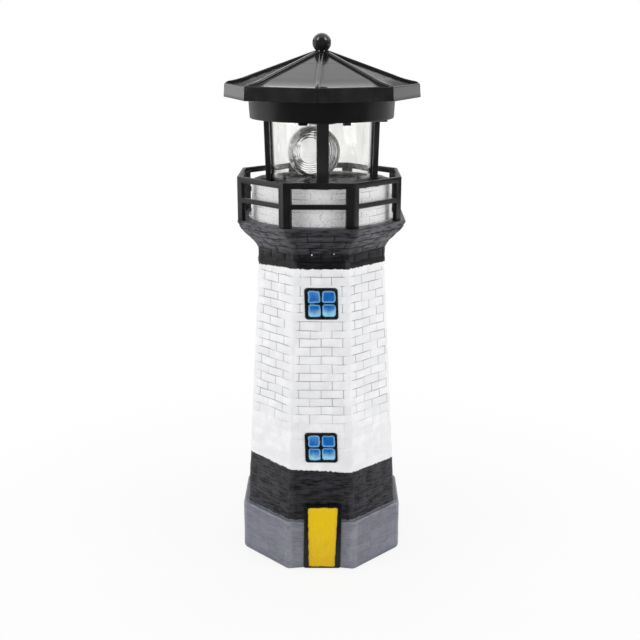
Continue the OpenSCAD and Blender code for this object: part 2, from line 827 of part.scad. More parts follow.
module pane_outline(gap) {
    from = pane_from / cos(face_slope) + gap;
    to = pane_to / cos(face_slope) - gap;
    side = (rib_w / 2 + pane_border + gap) / cos(oct_half);
    narrow = tan(oct_half) * cos(face_slope);
    polygon([[-(from * narrow - side), from], [from * narrow - side, from],
             [to * narrow - side, to], [-(to * narrow - side), to]]);
}

module roof_shell() {
    color("#1b1b1d")
        difference() {
            union() {
                rotate([0, 0, roof_turn]) {
                    difference() {
                        roof_body();
                        roof_hollow();
                    }
                    for (k = [0:7]) rotate([0, 0, 45 * k]) roof_rib();
                }
                translate([0, 0, peak_z - stem_depth])
                    cylinder(r = finial_stem_r + roof_t, h = stem_depth - collar_sink + touch);
                at_screws()
                    translate([0, 0, floor_top + seat_gap])
                        cylinder(r = boss_r, h = boss_top - floor_top - seat_gap);
            }
            at_screws()
                translate([0, 0, floor_top])
                    cylinder(r = screw_r + touch, h = screw_bite + cut);
            for (k = [0:7])
                on_face(k)
                    translate([0, 0, -pane_t]) linear_extrude(pane_t + 0.6) pane_outline(0);
            translate([0, 0, peak_z - stem_depth - roof_drop])
                cylinder(r = finial_stem_r + touch, h = 2 * (stem_depth + roof_drop));
            translate([0, 0, collar_seat() + touch]) cylinder(r = collar_r + touch, h = 5 * cut);
            for (s = [-1, 1])
                translate(concat(pane_point(s * lead_spread), [peak_z - 16]))
                    cylinder(r = lead_r + 0.15, h = 16, $fn = 32);
        }
}

function collar_seat() = peak_z - collar_sink;
module roof_finial() {
    ball_z = peak_z + ball_lift;
    color("#151517") {
        translate([0, 0, ball_z]) sphere(r = ball_d / 2, $fn = 64);
        translate([0, 0, collar_seat() + touch * 2])
            cylinder(r1 = collar_r, r2 = collar_r - 0.5, h = collar_h);
        translate([0, 0, peak_z - stem_depth])
            cylinder(r = finial_stem_r, h = ball_z - peak_z + stem_depth);
    }
}

module solar_panes() {
    color("#2e2e33")
        for (k = [0:7])
            on_face(k)
                translate([0, 0, -pane_t + touch])
                    linear_extrude(pane_t - touch) pane_outline(pane_gap);
}

// ---- battery, board and switch ----

module battery_holder() {
    inner_l = holder_len - 2 * holder_wall;
    inner_w = holder_w - 2 * holder_wall;
    color("#3a3a3c")
        translate([0, holder_y, holder_z])
            difference() {
                translate([-holder_len / 2, 0, 0]) cube([holder_len, holder_w, holder_h]);
                translate([-inner_l / 2, holder_wall, holder_floor])
                    cube([inner_l, inner_w, holder_h]);
            }
}

module battery_cell() {
    nub_len = 0.8;
    nub_r = 1.9;
    color("seagreen")
        translate([cell_x - cell_len / 2, cell_y, cell_z])
            rotate([0, 90, 0]) {
                cylinder(r = cell_d / 2, h = cell_len - nub_len);
                cylinder(r = nub_r, h = cell_len);
            }
}

spring_turns = 3;
spring_wire_r = 0.3;
spring_r = 3.2;
spring_end_r = 2;
module battery_spring() {
    plate_x = -holder_len / 2 + holder_wall + touch;
    from = plate_x + contact_t - 0.1;
    to = cell_x - cell_len / 2 - spring_wire_r - touch;
    steps = 12;
    color("silver") {
        contact_plate(plate_x);
        lead([for (k = [0:spring_turns * steps])
                  let (t = k / spring_turns / steps, a = 360 * k / steps,
                       r = spring_r + t * (spring_end_r - spring_r))
                      [from + spring_wire_r + (to - from - spring_wire_r) * t,
                       cell_y + r * cos(a), cell_z + r * sin(a)]],
             r = spring_wire_r, sides = 6);
    }
}

contact_w = 8;
contact_rise = 1;
contact_top = holder_z + holder_h + contact_rise + touch;
module contact_plate(x)
    translate([x, cell_y - contact_w / 2, holder_z + holder_floor + touch])
        cube([contact_t, contact_w, holder_h - holder_floor + contact_rise]);

module battery_contact() {
    color("silver") contact_plate(holder_len / 2 - holder_wall - contact_t - touch);
}

module battery_leads() {
    x = holder_len / 2 - holder_wall - contact_t / 2;
    y = cell_y - contact_w / 2 + lead_r;
    over = contact_top + 3;
    for (k = [0, 1])
        let (end_x = (2 * k - 1) * x, route = k == 0 ? negative_route : positive_route)
            color(k == 0 ? "black" : "firebrick")
                lead(concat(
                    [[end_x, y, contact_top + touch], [end_x, y, contact_top + lead_rise]],
                    [for (q = route) q + [0, 0, over]],
                    pad_end(battery_pads[k])));
}

module circuit_board() {
    color("darkgreen")
        difference() {
            on_board()
                translate([-board_w / 2, 0, board_z]) cube([board_w, board_len, board_t]);
            at_standoffs()
                translate([0, 0, board_z - cut])
                    cylinder(r = pillar_screw_r + 0.15, h = board_t + 2 * cut, $fn = 32);
        }
}

module board_parts() {
    z = board_top + touch;
    color("#222222")
        on_board() {
            translate(at_z(chip_at, z)) cube(chip_size);
            translate(at_z(capacitor_at, z))
                cylinder(r = capacitor_size[0], h = capacitor_size[1], $fn = 48);
            for (x = resistor_x) translate([x, resistor_y, z]) cube(resistor_size);
        }
}

module board_screws() {
    color("silver")
        at_standoffs()
            translate([0, 0, board_top + touch])
                mirror([0, 0, 1])
                    screw(pillar_screw_r, board_t + board_screw_len, small_head_r, small_head_h);
}

module switch_body() {
    z = floor_top + 0.1;
    h = board_z - touch - z;
    chamber = knob_w + switch_travel + 2 * body_gap;
    color("#303033")
        on_board()
            difference() {
                translate([(switch_travel - switch_size[0]) / 2, switch_y - switch_size[1] / 2, z])
                    cube([switch_size[0], switch_size[1], h]);
                translate([-knob_w / 2 - body_gap, switch_y - knob_depth / 2 - body_gap, z - cut])
                    cube([chamber, knob_depth + 2 * body_gap, cut + h / 2]);
                translate([-knob_w / 2 - body_gap,
                           switch_y - switch_size[1] / 2 + switch_wall, z + switch_wall])
                    cube([chamber, switch_size[1] - 2 * switch_wall, h - 2 * switch_wall]);
            }
}

module switch_knob() {
    top = board_z - touch - switch_wall - 0.2;
    flange_t = 0.5;
    color("#1f2130")
        on_board() {
            translate([-knob_w / 2, switch_y - knob_depth / 2, housing_z - knob_proud])
                cube([knob_w, knob_depth, top - housing_z + knob_proud]);
            translate([-knob_w / 2, switch_y - knob_depth / 2 - knob_flange, top - flange_t])
                cube([knob_w, knob_depth + 2 * knob_flange, flange_t]);
        }
}

// ---- drive ----

module gear_plate() {
    color("gainsboro")
        difference() {
            union() {
                translate([0, 0, gear_plate_z]) linear_extrude(gear_plate_t) polygon(plate_corners);
                translate([motor_at[0], motor_at[1], gear_plate_z])
                    cylinder(r = motor_d / 2 + touch + 1.1, h = gear_plate_t + 3);
            }
            translate([motor_at[0], motor_at[1], gear_plate_top])
                cylinder(r = motor_d / 2 + touch, h = 3 + cut);
            translate([motor_at[0], motor_at[1], gear_plate_z - cut])
                cylinder(r = nose_r + touch, h = gear_plate_t + 2 * cut, $fn = 48);
            translate([idler_at[0], idler_at[1], gear_plate_z - cut])
                cylinder(r = idler_pin_d / 2 + touch, h = gear_plate_t + 2 * cut, $fn = 48);
            translate([0, 0, gear_plate_z - cut])
                cylinder(r = stalk_d / 2 + touch, h = gear_plate_t + 2 * cut);
            at_pillars()
                translate([0, 0, gear_plate_z - cut])
                    cylinder(r = pillar_screw_r + 0.15, h = gear_plate_t + 2 * cut, $fn = 32);
        }
}

module plate_screws() {
    color("silver")
        at_pillars()
            translate([0, 0, gear_plate_top + touch])
                mirror([0, 0, 1])
                    screw(pillar_screw_r, gear_plate_t + plate_screw_len, small_head_r,
                          small_head_h);
}

nose_r = 1.5;
motor_z = gear_plate_top + touch;
motor_cap_t = 1;
motor_top = motor_z + motor_len;
shaft_room = 5;

module motor_can() {
    color("silver")
        translate([motor_at[0], motor_at[1], 0])
            difference() {
                union() {
                    translate([0, 0, motor_z])
                        cylinder(r = motor_d / 2, h = motor_len - motor_cap_t);
                    translate([0, 0, gear_plate_z + 0.2])
                        cylinder(r = nose_r, h = gear_plate_t, $fn = 48);
                }
                translate([0, 0, gear_plate_z - cut])
                    cylinder(r = shaft_d / 2 + run_gap, h = gear_plate_t + shaft_room + cut,
                             $fn = 48);
            }
}

module motor_cap() {
    color("ivory")
        translate([motor_at[0], motor_at[1], motor_top - motor_cap_t + touch])
            cylinder(r = motor_d / 2 - 0.6, h = motor_cap_t - touch);
}

module motor_leads() {
    offset = 1.8;
    rise = 1;
    for (k = [0, 1])
        color(k == 0 ? "black" : "firebrick")
            lead(concat(
                [[motor_at[0], motor_at[1] + (1 - 2 * k) * offset, motor_top + touch],
                 [motor_at[0], motor_at[1] + (1 - 2 * k) * offset, motor_top + rise],
                 [motor_at[0] + motor_d / 2 + 0.9, motor_at[1] - 2.6 * k, motor_top + rise],
                 motor_route[k] + [0, 0, motor_top]],
                pad_end(motor_pads[1 - k])));
}

module motor_shaft() {
    color("silver")
        translate([motor_at[0], motor_at[1], wheel_z - 0.2])
            cylinder(r = shaft_d / 2, h = shaft_room - 1 + gear_plate_top - wheel_z, $fn = 48);
}

module motor_pinion() {
    color("ivory")
        translate([motor_at[0], motor_at[1], wheel_z - 0.1])
            rotate([0, 0, motor_dir + 180 + 180 / pinion_teeth])
                gear(pinion_teeth, wheel_t + 0.2, shaft_d / 2 + touch);
}

module idler_pin() {
    color("silver")
        translate([idler_at[0], idler_at[1], housing_z + 0.8 + touch])
            cylinder(r = idler_pin_d / 2, h = gear_plate_top - housing_z - 0.8, $fn = 48);
}

module idler_gear() {
    bore = idler_pin_d / 2 + run_gap;
    low = rotor_z + seat_gap;
    overlap = 0.2;
    hub_h = gear_plate_z - seat_gap - overlap - wheel_z - overlap;
    color("ivory")
        translate([idler_at[0], idler_at[1], 0]) {
            translate([0, 0, low])
                rotate([0, 0, idler_dir + 180 + 180 / idler_small_teeth])
                    gear(idler_small_teeth, wheel_z + overlap - low, bore);
            translate([0, 0, wheel_z])
                rotate([0, 0, motor_dir]) gear(idler_large_teeth, wheel_t, bore);
            translate([0, 0, wheel_z + overlap])
                difference() {
                    cylinder(r = bore + 1, h = hub_h, $fn = 48);
                    translate([0, 0, -cut]) cylinder(r = bore, h = hub_h + 2 * cut, $fn = 48);
                }
        }
}

module rotor_gear() {
    color("ivory") {
        translate([0, 0, rotor_z])
            rotate([0, 0, idler_dir]) gear(rotor_teeth, rotor_gear_t, sleeve_bore_r);
        translate([0, 0, carrier_z])
            difference() {
                cylinder(r = sleeve_d / 2, h = rotor_z + 0.5 - carrier_z);
                translate([0, 0, -cut]) cylinder(r = sleeve_bore_r, h = 9);
            }
    }
}

// ---- lamp and lens ----

module lens_carrier() {
    ring_w = 2.4;
    arm_w = 6.4;
    arm_len = tab_at + tab_t / 2 + 1.6;
    color("#1b1b1d")
        rotate([0, 0, lens_turn])
            difference() {
                union() {
                    translate([0, 0, carrier_z])
                        cylinder(r = sleeve_d / 2 + ring_w, h = carrier_t);
                    translate([-arm_w / 2, 0, carrier_z]) cube([arm_w, arm_len, carrier_t]);
                }
                translate([0, 0, carrier_z - cut])
                    cylinder(r = sleeve_d / 2 + touch, h = carrier_t + 2 * cut);
                translate([-tab_w / 2 - touch, tab_at - tab_t / 2 - touch, carrier_z - cut])
                    cube([tab_w + 2 * touch, tab_t + 2 * touch, carrier_t - 0.6 + cut]);
            }
}

module lens_barrel() {
    top = carrier_z + carrier_t - 0.6 - touch;
    color("white", 0.4)
        rotate([0, 0, lens_turn])
            difference() {
                union() {
                    translate([0, lens_from, lens_mid_z])
                        rotate([-90, 0, 0]) cylinder(r = lens_r, h = lens_len);
                    translate([-tab_w / 2, tab_at - tab_t / 2, lens_mid_z + lens_r - lens_wall])
                        cube([tab_w, tab_t, top - lens_mid_z - lens_r + lens_wall]);
                }
                translate([0, lens_from - cut, lens_mid_z])
                    rotate([-90, 0, 0])
                        cylinder(r = lens_r - lens_wall, h = lens_len + 2 * cut);
            }
}

module fresnel_lens() {
    r = lens_r - lens_wall - touch;
    plate = 0.9;
    tooth = 0.8;
    step = r / fresnel_steps;
    color("white", 0.4)
        rotate([0, 0, lens_turn])
            translate([0, lens_from + lens_len - 0.2, lens_mid_z])
                rotate([90, 0, 0])
                    rotate_extrude()
                        polygon(concat(
                            [[0, 0], [r, 0]],
                            [for (k = [fresnel_steps:-1:1], q = [0, 1])
                                [k * step - q * (step - 0.05), plate + q * tooth]],
                            [[0, plate + tooth]]));
}

module led_stalk() {
    flange_r = 3.4;
    flange_t = 1;
    low = lamp_top + touch;
    color("#d8d8d8")
        difference() {
            union() {
                translate([0, 0, low]) cylinder(r = stalk_d / 2, h = gear_plate_top + flange_t - low);
                translate([0, 0, gear_plate_top + touch]) cylinder(r = flange_r, h = flange_t - touch);
            }
            translate([0, 0, low - cut])
                cylinder(r = stalk_d / 2 - stalk_wall,
                         h = gear_plate_top - low + flange_t + 2 * cut);
        }
}

module led_lamp() {
    r = lamp_d / 2;
    color("lightyellow", 0.7) {
        translate([0, 0, lamp_top - lamp_len + r]) cylinder(r = r, h = lamp_len - r);
        translate([0, 0, lamp_top - lamp_len + r]) sphere(r = r, $fn = 64);
    }
}

module led_leads() {
    x = 0.6;
    turn_h = 2;
    for (k = [0, 1])
        let (lead_x = (2 * k - 1) * x)
            color(k == 0 ? "black" : "firebrick")
                lead(concat(
                    [[lead_x, 0, lamp_top + touch], [lead_x, 0, gear_plate_top + turn_h],
                     [lead_x + 0.4, -turn_h, gear_plate_top + 2.2 * turn_h],
                     led_route[k] + [0, 0, gear_plate_top]],
                    pad_end(led_pads[k])), r = led_lead_r);
}

module solar_leads() {
    under = peak_z - face_fall * lead_face_r - pane_t / cos(face_slope)
            - lead_r * face_fall - seat_gap;
    for (k = [0, 1])
        let (q = pane_point((2 * k - 1) * lead_spread))
            color(k == 0 ? "black" : "firebrick")
                lead(concat([at_z(q, under), at_z(q, under - 4)], pad_end(solar_pads[k])));
}

tower_casting();
gallery_railing();
lantern_cage();
lantern_glass();
housing_drum();
housing_screws();
roof_shell();
roof_finial();
solar_panes();
solar_leads();
battery_holder();
battery_cell();
battery_spring();
battery_contact();
battery_leads();
circuit_board();
board_parts();
board_screws();
switch_body();
switch_knob();
gear_plate();
plate_screws();
motor_can();
motor_cap();
motor_leads();
motor_shaft();
motor_pinion();
idler_pin();
idler_gear();
rotor_gear();
lens_carrier();
lens_barrel();
fresnel_lens();
led_stalk();
led_lamp();
led_leads();
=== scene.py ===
# %% [markdown]
# # A solar lighthouse for the garden
# This lesson dresses a measured model of a garden ornament: a cast and hand-painted tower, a black
# railing, and a plastic lantern head with a clear tube, a turning lens and a roof of solar panes.
# The measured model comes first. It holds every piece at its real size and place, in metres, and
# this file replaces the pieces that need finer shapes and gives every piece its finish.

# %% The measured model
import json
import math
from functools import partial

import bpy
import numpy as np
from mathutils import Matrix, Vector


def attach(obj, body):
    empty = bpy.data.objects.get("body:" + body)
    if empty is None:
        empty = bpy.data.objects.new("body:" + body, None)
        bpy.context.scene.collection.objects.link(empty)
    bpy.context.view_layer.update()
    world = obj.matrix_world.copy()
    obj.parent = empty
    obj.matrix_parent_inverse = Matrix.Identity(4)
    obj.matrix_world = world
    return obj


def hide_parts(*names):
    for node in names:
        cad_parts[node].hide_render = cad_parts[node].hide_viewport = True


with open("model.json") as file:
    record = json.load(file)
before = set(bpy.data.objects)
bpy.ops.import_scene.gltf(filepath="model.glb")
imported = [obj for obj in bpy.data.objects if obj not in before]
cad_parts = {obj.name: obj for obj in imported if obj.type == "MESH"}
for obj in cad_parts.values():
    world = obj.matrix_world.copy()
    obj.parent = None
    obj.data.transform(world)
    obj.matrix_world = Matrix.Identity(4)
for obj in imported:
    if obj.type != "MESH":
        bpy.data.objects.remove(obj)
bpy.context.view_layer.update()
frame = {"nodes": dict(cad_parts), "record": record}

# %% [markdown]
# ## Tools for shapes
# Every new piece is a surface worked out with numpy: a grid of points with rows along one way and
# columns along the other. Working in millimetres keeps the numbers easy to compare with a ruler,
# and one function turns a grid into a Blender mesh. Rows that run up and columns that run
# anticlockwise, seen from above, make the faces point outwards.

# %% A grid of points becomes a mesh
MM = 0.001


def grid_quads(rows, cols, loop_rows=False, loop_cols=True):
    """Quads between neighbours on a grid; the last row or column joins the first where it loops."""
    r = np.arange(rows if loop_rows else rows - 1)[:, None]
    c = np.arange(cols if loop_cols else cols - 1)[None, :]
    up, on = (r + 1) % rows, (c + 1) % cols
    quads = [r * cols + c, r * cols + on, up * cols + on, up * cols + c]
    return np.stack(np.broadcast_arrays(*quads), axis=-1).reshape(-1, 4)


def give_values(mesh, values):
    """Each named value becomes an attribute of the mesh's points, which a finish can read."""
    for key, value in values.items():
        layer = mesh.attributes.new(key, "FLOAT", "POINT")
        layer.data.foreach_set("value", np.ravel(value).astype(np.float32))


def new_object(name, data):
    """An object of the scene that shows some data."""
    obj = bpy.data.objects.new(name, data)
    bpy.context.scene.collection.objects.link(obj)
    return obj


def fit_out(obj, body, nodes):
    """Puts a piece on its body, in place of measured pieces, which it hides."""
    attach(obj, body)
    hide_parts(*nodes)
    print(f"{obj.name}: {len(obj.data.vertices)} points, {len(obj.data.polygons)} faces")


def make_piece(name, parts, finish, body, slot, nodes, sharp=38, **values):
    """One object from (points, quads, caps) parts in mm."""
    points, faces, start = [], [], 0
    for verts, quads, caps in parts:
        points.append(verts.reshape(-1, 3))
        faces += (quads + start).tolist() + [[k + start for k in cap] for cap in caps]
        start += len(points[-1])
    mesh = bpy.data.meshes.new(name)
    mesh.from_pydata((np.concatenate(points) * MM).tolist(), [], faces)
    give_values(mesh, values)
    finish_mesh(mesh, sharp)
    mesh.materials.append(finish)
    fit_out(new_object(name, mesh), body, nodes)


# %% Joining doubled points and smoothing
import bmesh


def finish_mesh(mesh, sharp):
    """Merges points under a micrometre apart and shades smooth, except at edges over `sharp`."""
    work = bmesh.new()
    work.from_mesh(mesh)
    bmesh.ops.remove_doubles(work, verts=work.verts, dist=1e-6)
    bmesh.ops.dissolve_degenerate(work, edges=work.edges, dist=1e-7)
    work.to_mesh(mesh)
    work.free()
    mesh.shade_smooth()
    mesh.set_sharp_from_angle(angle=math.radians(sharp))


# %% Soft corners and turned shapes
def soft_corners(outline, radius, steps=4):
    """Closed outline whose corner c is rounded by (1-s)^2 a + 2s(1-s) c + s^2 b, with a and b at
    `radius` from c on its two sides. One more point past each end keeps the sides flat."""
    c = np.asarray(outline, float)
    back, on = np.roll(c, 1, axis=0) - c, np.roll(c, -1, axis=0) - c
    back_len, on_len = (np.linalg.norm(v, axis=1)[:, None] for v in (back, on))
    reach = np.minimum(np.broadcast_to(radius, len(c))[:, None],
                       0.4 * np.minimum(back_len, on_len))
    back, on = back / back_len, on / on_len
    s = np.linspace(0, 1, steps + 1)[None, :, None]
    a, b, m = ((c + reach * back)[:, None], (c + reach * on)[:, None], c[:, None])
    curve = (1 - s) ** 2 * a + 2 * s * (1 - s) * m + s ** 2 * b
    before, after = (c + 1.15 * reach * back)[:, None], (c + 1.15 * reach * on)[:, None]
    return np.concatenate([before, curve, after], axis=1).reshape(-1, 2)


def closed(points):
    """A wall of rings whose last ring joins its first."""
    return points, grid_quads(*points.shape[:2], loop_rows=True), []


def turned(profile, steps=128):
    """Surface of revolution: profile point (r, z) goes to (r cos u, r sin u, z)."""
    profile = np.asarray(profile, float)
    u = np.arange(steps) / steps * 2 * np.pi
    r, z = profile[:, :1], profile[:, 1:]
    return closed(np.stack(np.broadcast_arrays(r * np.cos(u), r * np.sin(u), z), axis=-1))


def lofted(sections):
    """Sections of equal length, carried from one to the next and closed by a face at each end."""
    sections = np.asarray(sections, float)
    rows, cols = sections.shape[:2]
    ends = [list(range(cols))[::-1], list(range((rows - 1) * cols, rows * cols))]
    return sections, grid_quads(rows, cols), ends


# %% [markdown]
# ## Tools for finishes
# A finish is a small network of nodes: it starts from a pattern in the object's own coordinates and
# ends at the Principled shader, which stands for nearly every real surface. Colours are written as
# the hex codes that a paint program shows, and one function turns them into the linear light values
# that the renderer works in. Patterns are sized in millimetres, so a speck stays a speck.

# %% Colour codes and nodes
# settings that every node of a kind takes, unless its own say otherwise
ALWAYS = {"MapRange": {"interpolation_type": "SMOOTHSTEP"}, "Mix": {"data_type": "RGBA"}}


def srgb(code):
    """Linear colour of a hex code: c / 12.92 up to 0.04045, else ((c + 0.055) / 1.055) ^ 2.4."""
    c = np.array([int(code[k:k + 2], 16) for k in (1, 3, 5)]) / 255
    linear = np.where(c <= 0.04045, c / 12.92, ((c + 0.055) / 1.055) ** 2.4)
    return (*linear.tolist(), 1.0)


def add_node(tree, kind, *values, named=(), out=None, **settings):
    """Adds a shader node with its settings. Values go to its inputs in order, or `named` by the
    input: a number, a hex colour, or another node's output, which is linked. None leaves an input
    as it is. Gives the output called `out`, or else the first."""
    node = tree.nodes.new("ShaderNode" + kind)
    for key, value in {**ALWAYS.get(kind, {}), **settings}.items():
        setattr(node, key, value)
    inputs = [*zip([s for s in node.inputs if s.enabled], values)]
    for socket, value in inputs + [(node.inputs[key], v) for key, v in dict(named).items()]:
        if isinstance(value, bpy.types.NodeSocket):
            tree.links.new(value, socket)
        elif value is not None:
            socket.default_value = srgb(value) if isinstance(value, str) else value
    return node.outputs[out] if out else next((s for s in node.outputs if s.enabled), None)


def new_finish(name):
    """An empty finish, and the function that adds a node to it."""
    finish = bpy.data.materials.new(name)
    finish.use_nodes = True
    finish.node_tree.nodes.clear()
    return finish, partial(add_node, finish.node_tree)


# %% Patterns, coats and the shader
def speckle(add, size_mm, detail=2.0, rough=0.5, stretch=(1, 1, 1)):
    """Noise whose blobs are about size_mm across, drawn out along an axis by `stretch`."""
    place = add("Mapping", add("TexCoord", out="Object"), named={"Scale": [1 / s for s in stretch]})
    return add("TexNoise", place, 1 / (size_mm * MM), detail, rough)


def paint(add, colour, *coats):
    """Coats laid over a colour, one after another. A coat (value, low, high, colour) covers more
    as its value goes from low to high. Two numbers before its colour give how much it covers at
    low and at high, instead of 0 and 1. A coat (amount, colour) covers by the amount."""
    for *amount, over in coats:
        amount = add("MapRange", *amount) if len(amount) > 1 else amount[0]
        colour = add("Mix", amount, colour, over)
    return colour


def cover(finish, add, colour, rough, dents=None, inputs=(), volume=None):
    """Ends a finish with its Principled shader: a colour, roughness as (value, low, high, least,
    most), dents as (height, depth in mm, strength), and the shader's other inputs by name."""
    if dents:
        height, depth_mm, strength = dents
        dents = add("Bump", strength, depth_mm * MM, named={"Height": height})
    named = {"Roughness": add("MapRange", *rough), "Normal": dents, **dict(inputs)}
    add("OutputMaterial", add("BsdfPrincipled", colour, named=named), volume)
    return finish


# %% [markdown]
# ## Paint on the cast tower
# The tower is cast in one piece from polyester resin filled with stone powder, and painted by hand:
# grey at the base, a black band, a white shaft, a black neck and a white drum. The paint is thin
# and half matt. It leaves the joints between the bricks greyer than their faces, and its edges are
# ragged, because a brush made them. One finish carries all the coats, chosen by height, so that the
# edges between the coats can be shifted by noise just as a brush shifts them.

# %% The painted cast resin
BASE_TOP, BAND_TOP, NECK_FROM, GALLERY_Z = 27.0, 53.8, 158.4, 180.4
DRUM_PAINT_R = 37.4
FLARE, BAND_FADES, DRUM_FOOT = (163, 169), (60, 80), (180, 181)
EDGE_WANDER, EDGE_IN_JOINT, EDGE_MEAN, EDGE_SOFT = 2.0, 0.9, 1.35, 0.18
BARE_SPECKS = ((-4.56, -32.3, 165.9), (6.2, -32.3, 166.15))


def painted_cast_resin():
    """Painted polyester resin, IOR 1.5: satin white, black and grey coats over a brick relief."""
    finish, add = new_finish("painted cast polyester resin")
    place = add("TexCoord", out="Object")
    east, north, up = add("SeparateXYZ", place).node.outputs
    groove, tone, edge = (add("Attribute", attribute_name=key, out="Fac")
                          for key in ("groove", "tone", "edge"))
    plus, times = (partial(add, "Math", operation=kind) for kind in ("ADD", "MULTIPLY"))
    # bristles leave level marks 0.3 mm high, too fine to show, so they are drawn 0.8 mm high and
    # 5 mm long; blotches of thin paint are 6 mm; stone grit of 0.1 mm is drawn 0.5 mm wide
    brush = speckle(add, 2.4, 3, 0.6, stretch=(2.2, 2.2, 0.35))
    blotch, grit = speckle(add, 6, 3, 0.6), speckle(add, 0.5, 2, 0.5)
    ragged = plus(times(speckle(add, 1.5, 3, 0.65), EDGE_WANDER * MM),
                  times(groove, EDGE_IN_JOINT * MM))
    height = plus(plus(up, -EDGE_MEAN * MM), ragged)

    def past(value, low, high, *amounts, **settings):
        """Amount that changes as a length goes from low to high, in mm."""
        return add("MapRange", value, low * MM, high * MM, *amounts, **settings)

    def above(level, lifted=0.0):
        """1 above a painted edge, which lies lower where `lifted` is over 0."""
        return past(plus(height, lifted), level - EDGE_SOFT, level + EDGE_SOFT)

    # corners and lips are rubbed lighter, in places
    rubbed = times(edge, add("MapRange", blotch, 0.35, 0.65, 0.05, 0.5))
    # the drum's white is mixed brighter than the shaft's: painted light that lifts it out of the
    # shade of the railing and roof; grey grit flecks it
    lit_grainy_drum_white = paint(add, "#fbfbfb", (grit, 0.5, 0.66, "#dcdcdd"))
    white = paint(add, "#e9e9eb", (blotch, 0.3, 0.7, "#f3f3f4"), (tone, 0, 1, 0, 0.5, "#e2e2e5"),
                  (past(up, *DRUM_FOOT), lit_grainy_drum_white), (groove, 0.2, 0.9, 0, 0.95, "#7c7d82"))
    # the black is mixed lighter through the brush marks on the flare's bricks and towards the foot
    # of the band
    lighter_black_mask = plus(past(up, *FLARE), past(up, *BAND_FADES, 0.55, 0))
    # its side faces are painted lighter still: a painted highlight where light falls on the sides
    # of the flare and band
    painted_side_light = times(past(add("Math", east, operation="ABSOLUTE"), 15, 22), past(up, *FLARE, 0.35, 1))
    black = paint(add, "#08080a", (brush, 0.36, 0.7, "#1e1e22"), (tone, 0, 1, 0, 0.3, "#2d2d32"),
                  (times(lighter_black_mask, add("MapRange", brush, 0.36, 0.58, 0, 0.75)),
                   paint(add, "#46464c", (painted_side_light, "#6a6a71"))),
                  (groove, 0.08, 0.45, 0, 0.95, "#050506"), (rubbed, "#4e4e54"))
    grey = paint(add, "#686973", (brush, 0.25, 0.75, "#7d7f89"), (tone, 0, 1, 0, 0.4, "#8b8c97"),
                 (groove, 0.25, 0.9, 0, 0.8, "#3c3d44"), (rubbed, "#a2a3ab"))
    # the drum's white was laid on thickly and runs out over the gallery's floor
    out = add("Math", plus(times(east, east), times(north, north)), operation="SQRT")
    drum = times(above(GALLERY_Z - 0.5),
                 past(plus(out, ragged), DRUM_PAINT_R + 0.8, DRUM_PAINT_R + 1.1, 1, 0))
    # both edges of the white were painted by hand: each runs about 2 mm off level
    band_rise = times(east, 0.045)
    neck_sag = past(east, -33, -17, 1.7 * MM, 0, interpolation_type="LINEAR")
    # the black coat flaked off the neck in two specks, and grey dust lies on every coat
    bare = (add("VectorMath", place, [c * MM for c in at], operation="DISTANCE")
            for at in BARE_SPECKS)
    colour = paint(add, grey, (above(BASE_TOP + 0.25), black), (above(BAND_TOP, band_rise), white),
                   (above(NECK_FROM, neck_sag), black), (drum, white),
                   *((past(far, 0.3, 0.5, 1, 0), "#f0f0f0") for far in bare),
                   (grit, 0.66, 0.8, 0, 0.25, "#8b8b8d"))
    relief = plus(times(brush, 0.7), times(grit, 0.3))
    return cover(finish, add, colour, (blotch, 0.3, 0.7, 0.3, 0.46), (relief, 0.22, 0.6),
                 {"IOR": 1.5, "Specular IOR Level": 0.35})


tower_paint = painted_cast_resin()
print("finish:", tower_paint.name)

# %% [markdown]
# ## The brick relief
# The mould was carved with courses of bricks about 4.4 mm high and 10.7 mm long, on eight flat
# faces with worn corners. Sculpting or a displacement picture could give the joints, but a grid
# that puts its own lines along the joints draws them crisply with far fewer points. Each joint is
# five points wide, its depth falls off as a bell curve, and small random shifts make it look
# carved by hand.

# %% Where the joints are
rng = np.random.default_rng(27)
JOINT_OFFSETS = np.array([-0.5, -0.2, 0.0, 0.2, 0.5])
JOINT_W, NO_JOINT = 0.21, 9.0
EIGHTH = math.pi / 4
FLAT = math.tan(EIGHTH / 2)


def face_axes(k, turn=0.0):
    """Directions out of face k and along it, on an octagon turned by `turn`."""
    ang = EIGHTH * k + turn - math.pi / 2
    return np.array([math.cos(ang), math.sin(ang)]), np.array([-math.sin(ang), math.cos(ang)])


def octagon_columns(face_t, corner_steps=4, turn=0.0):
    """Columns round an octagon. Face k is crossed at each t from -1 to 1, and its corner follows.
    A ring of half width a and corner radius r has its points at (a - r) * inner + r * outward."""
    inner, outward, tag = [], [], []
    bend = EIGHTH * np.arange(1, corner_steps)[:, None] / corner_steps
    for k in range(8):
        t = np.append(face_t[k], np.ones(corner_steps - 1))
        n, along = face_axes(k, turn)
        inner.append(n + along * FLAT * t[:, None])
        outward += [np.repeat([n], len(face_t[k]), 0), np.cos(bend) * n + np.sin(bend) * along]
        tag.append(np.stack([np.full(len(t), k), t], 1))
    return np.concatenate(inner), np.concatenate(outward), np.concatenate(tag)


def octagon_rings(rings, inner, outward):
    """Points of rings (half width a, height z, corner radius r) on the given columns."""
    a, z, r = (np.asarray(rings, float)[:, k][:, None, None] for k in range(3))
    flat = (a - r) * inner[None] + r * outward[None]
    return np.concatenate([flat, np.broadcast_to(z, flat.shape[:2] + (1,))], axis=2)


# %% Smooth chance variation
def smooth_step(v, low, high):
    """3t^2 - 2t^3 with t = (v - low) / (high - low) held in 0..1."""
    t = np.clip((v - low) / (high - low), 0, 1)
    return t * t * (3 - 2 * t)


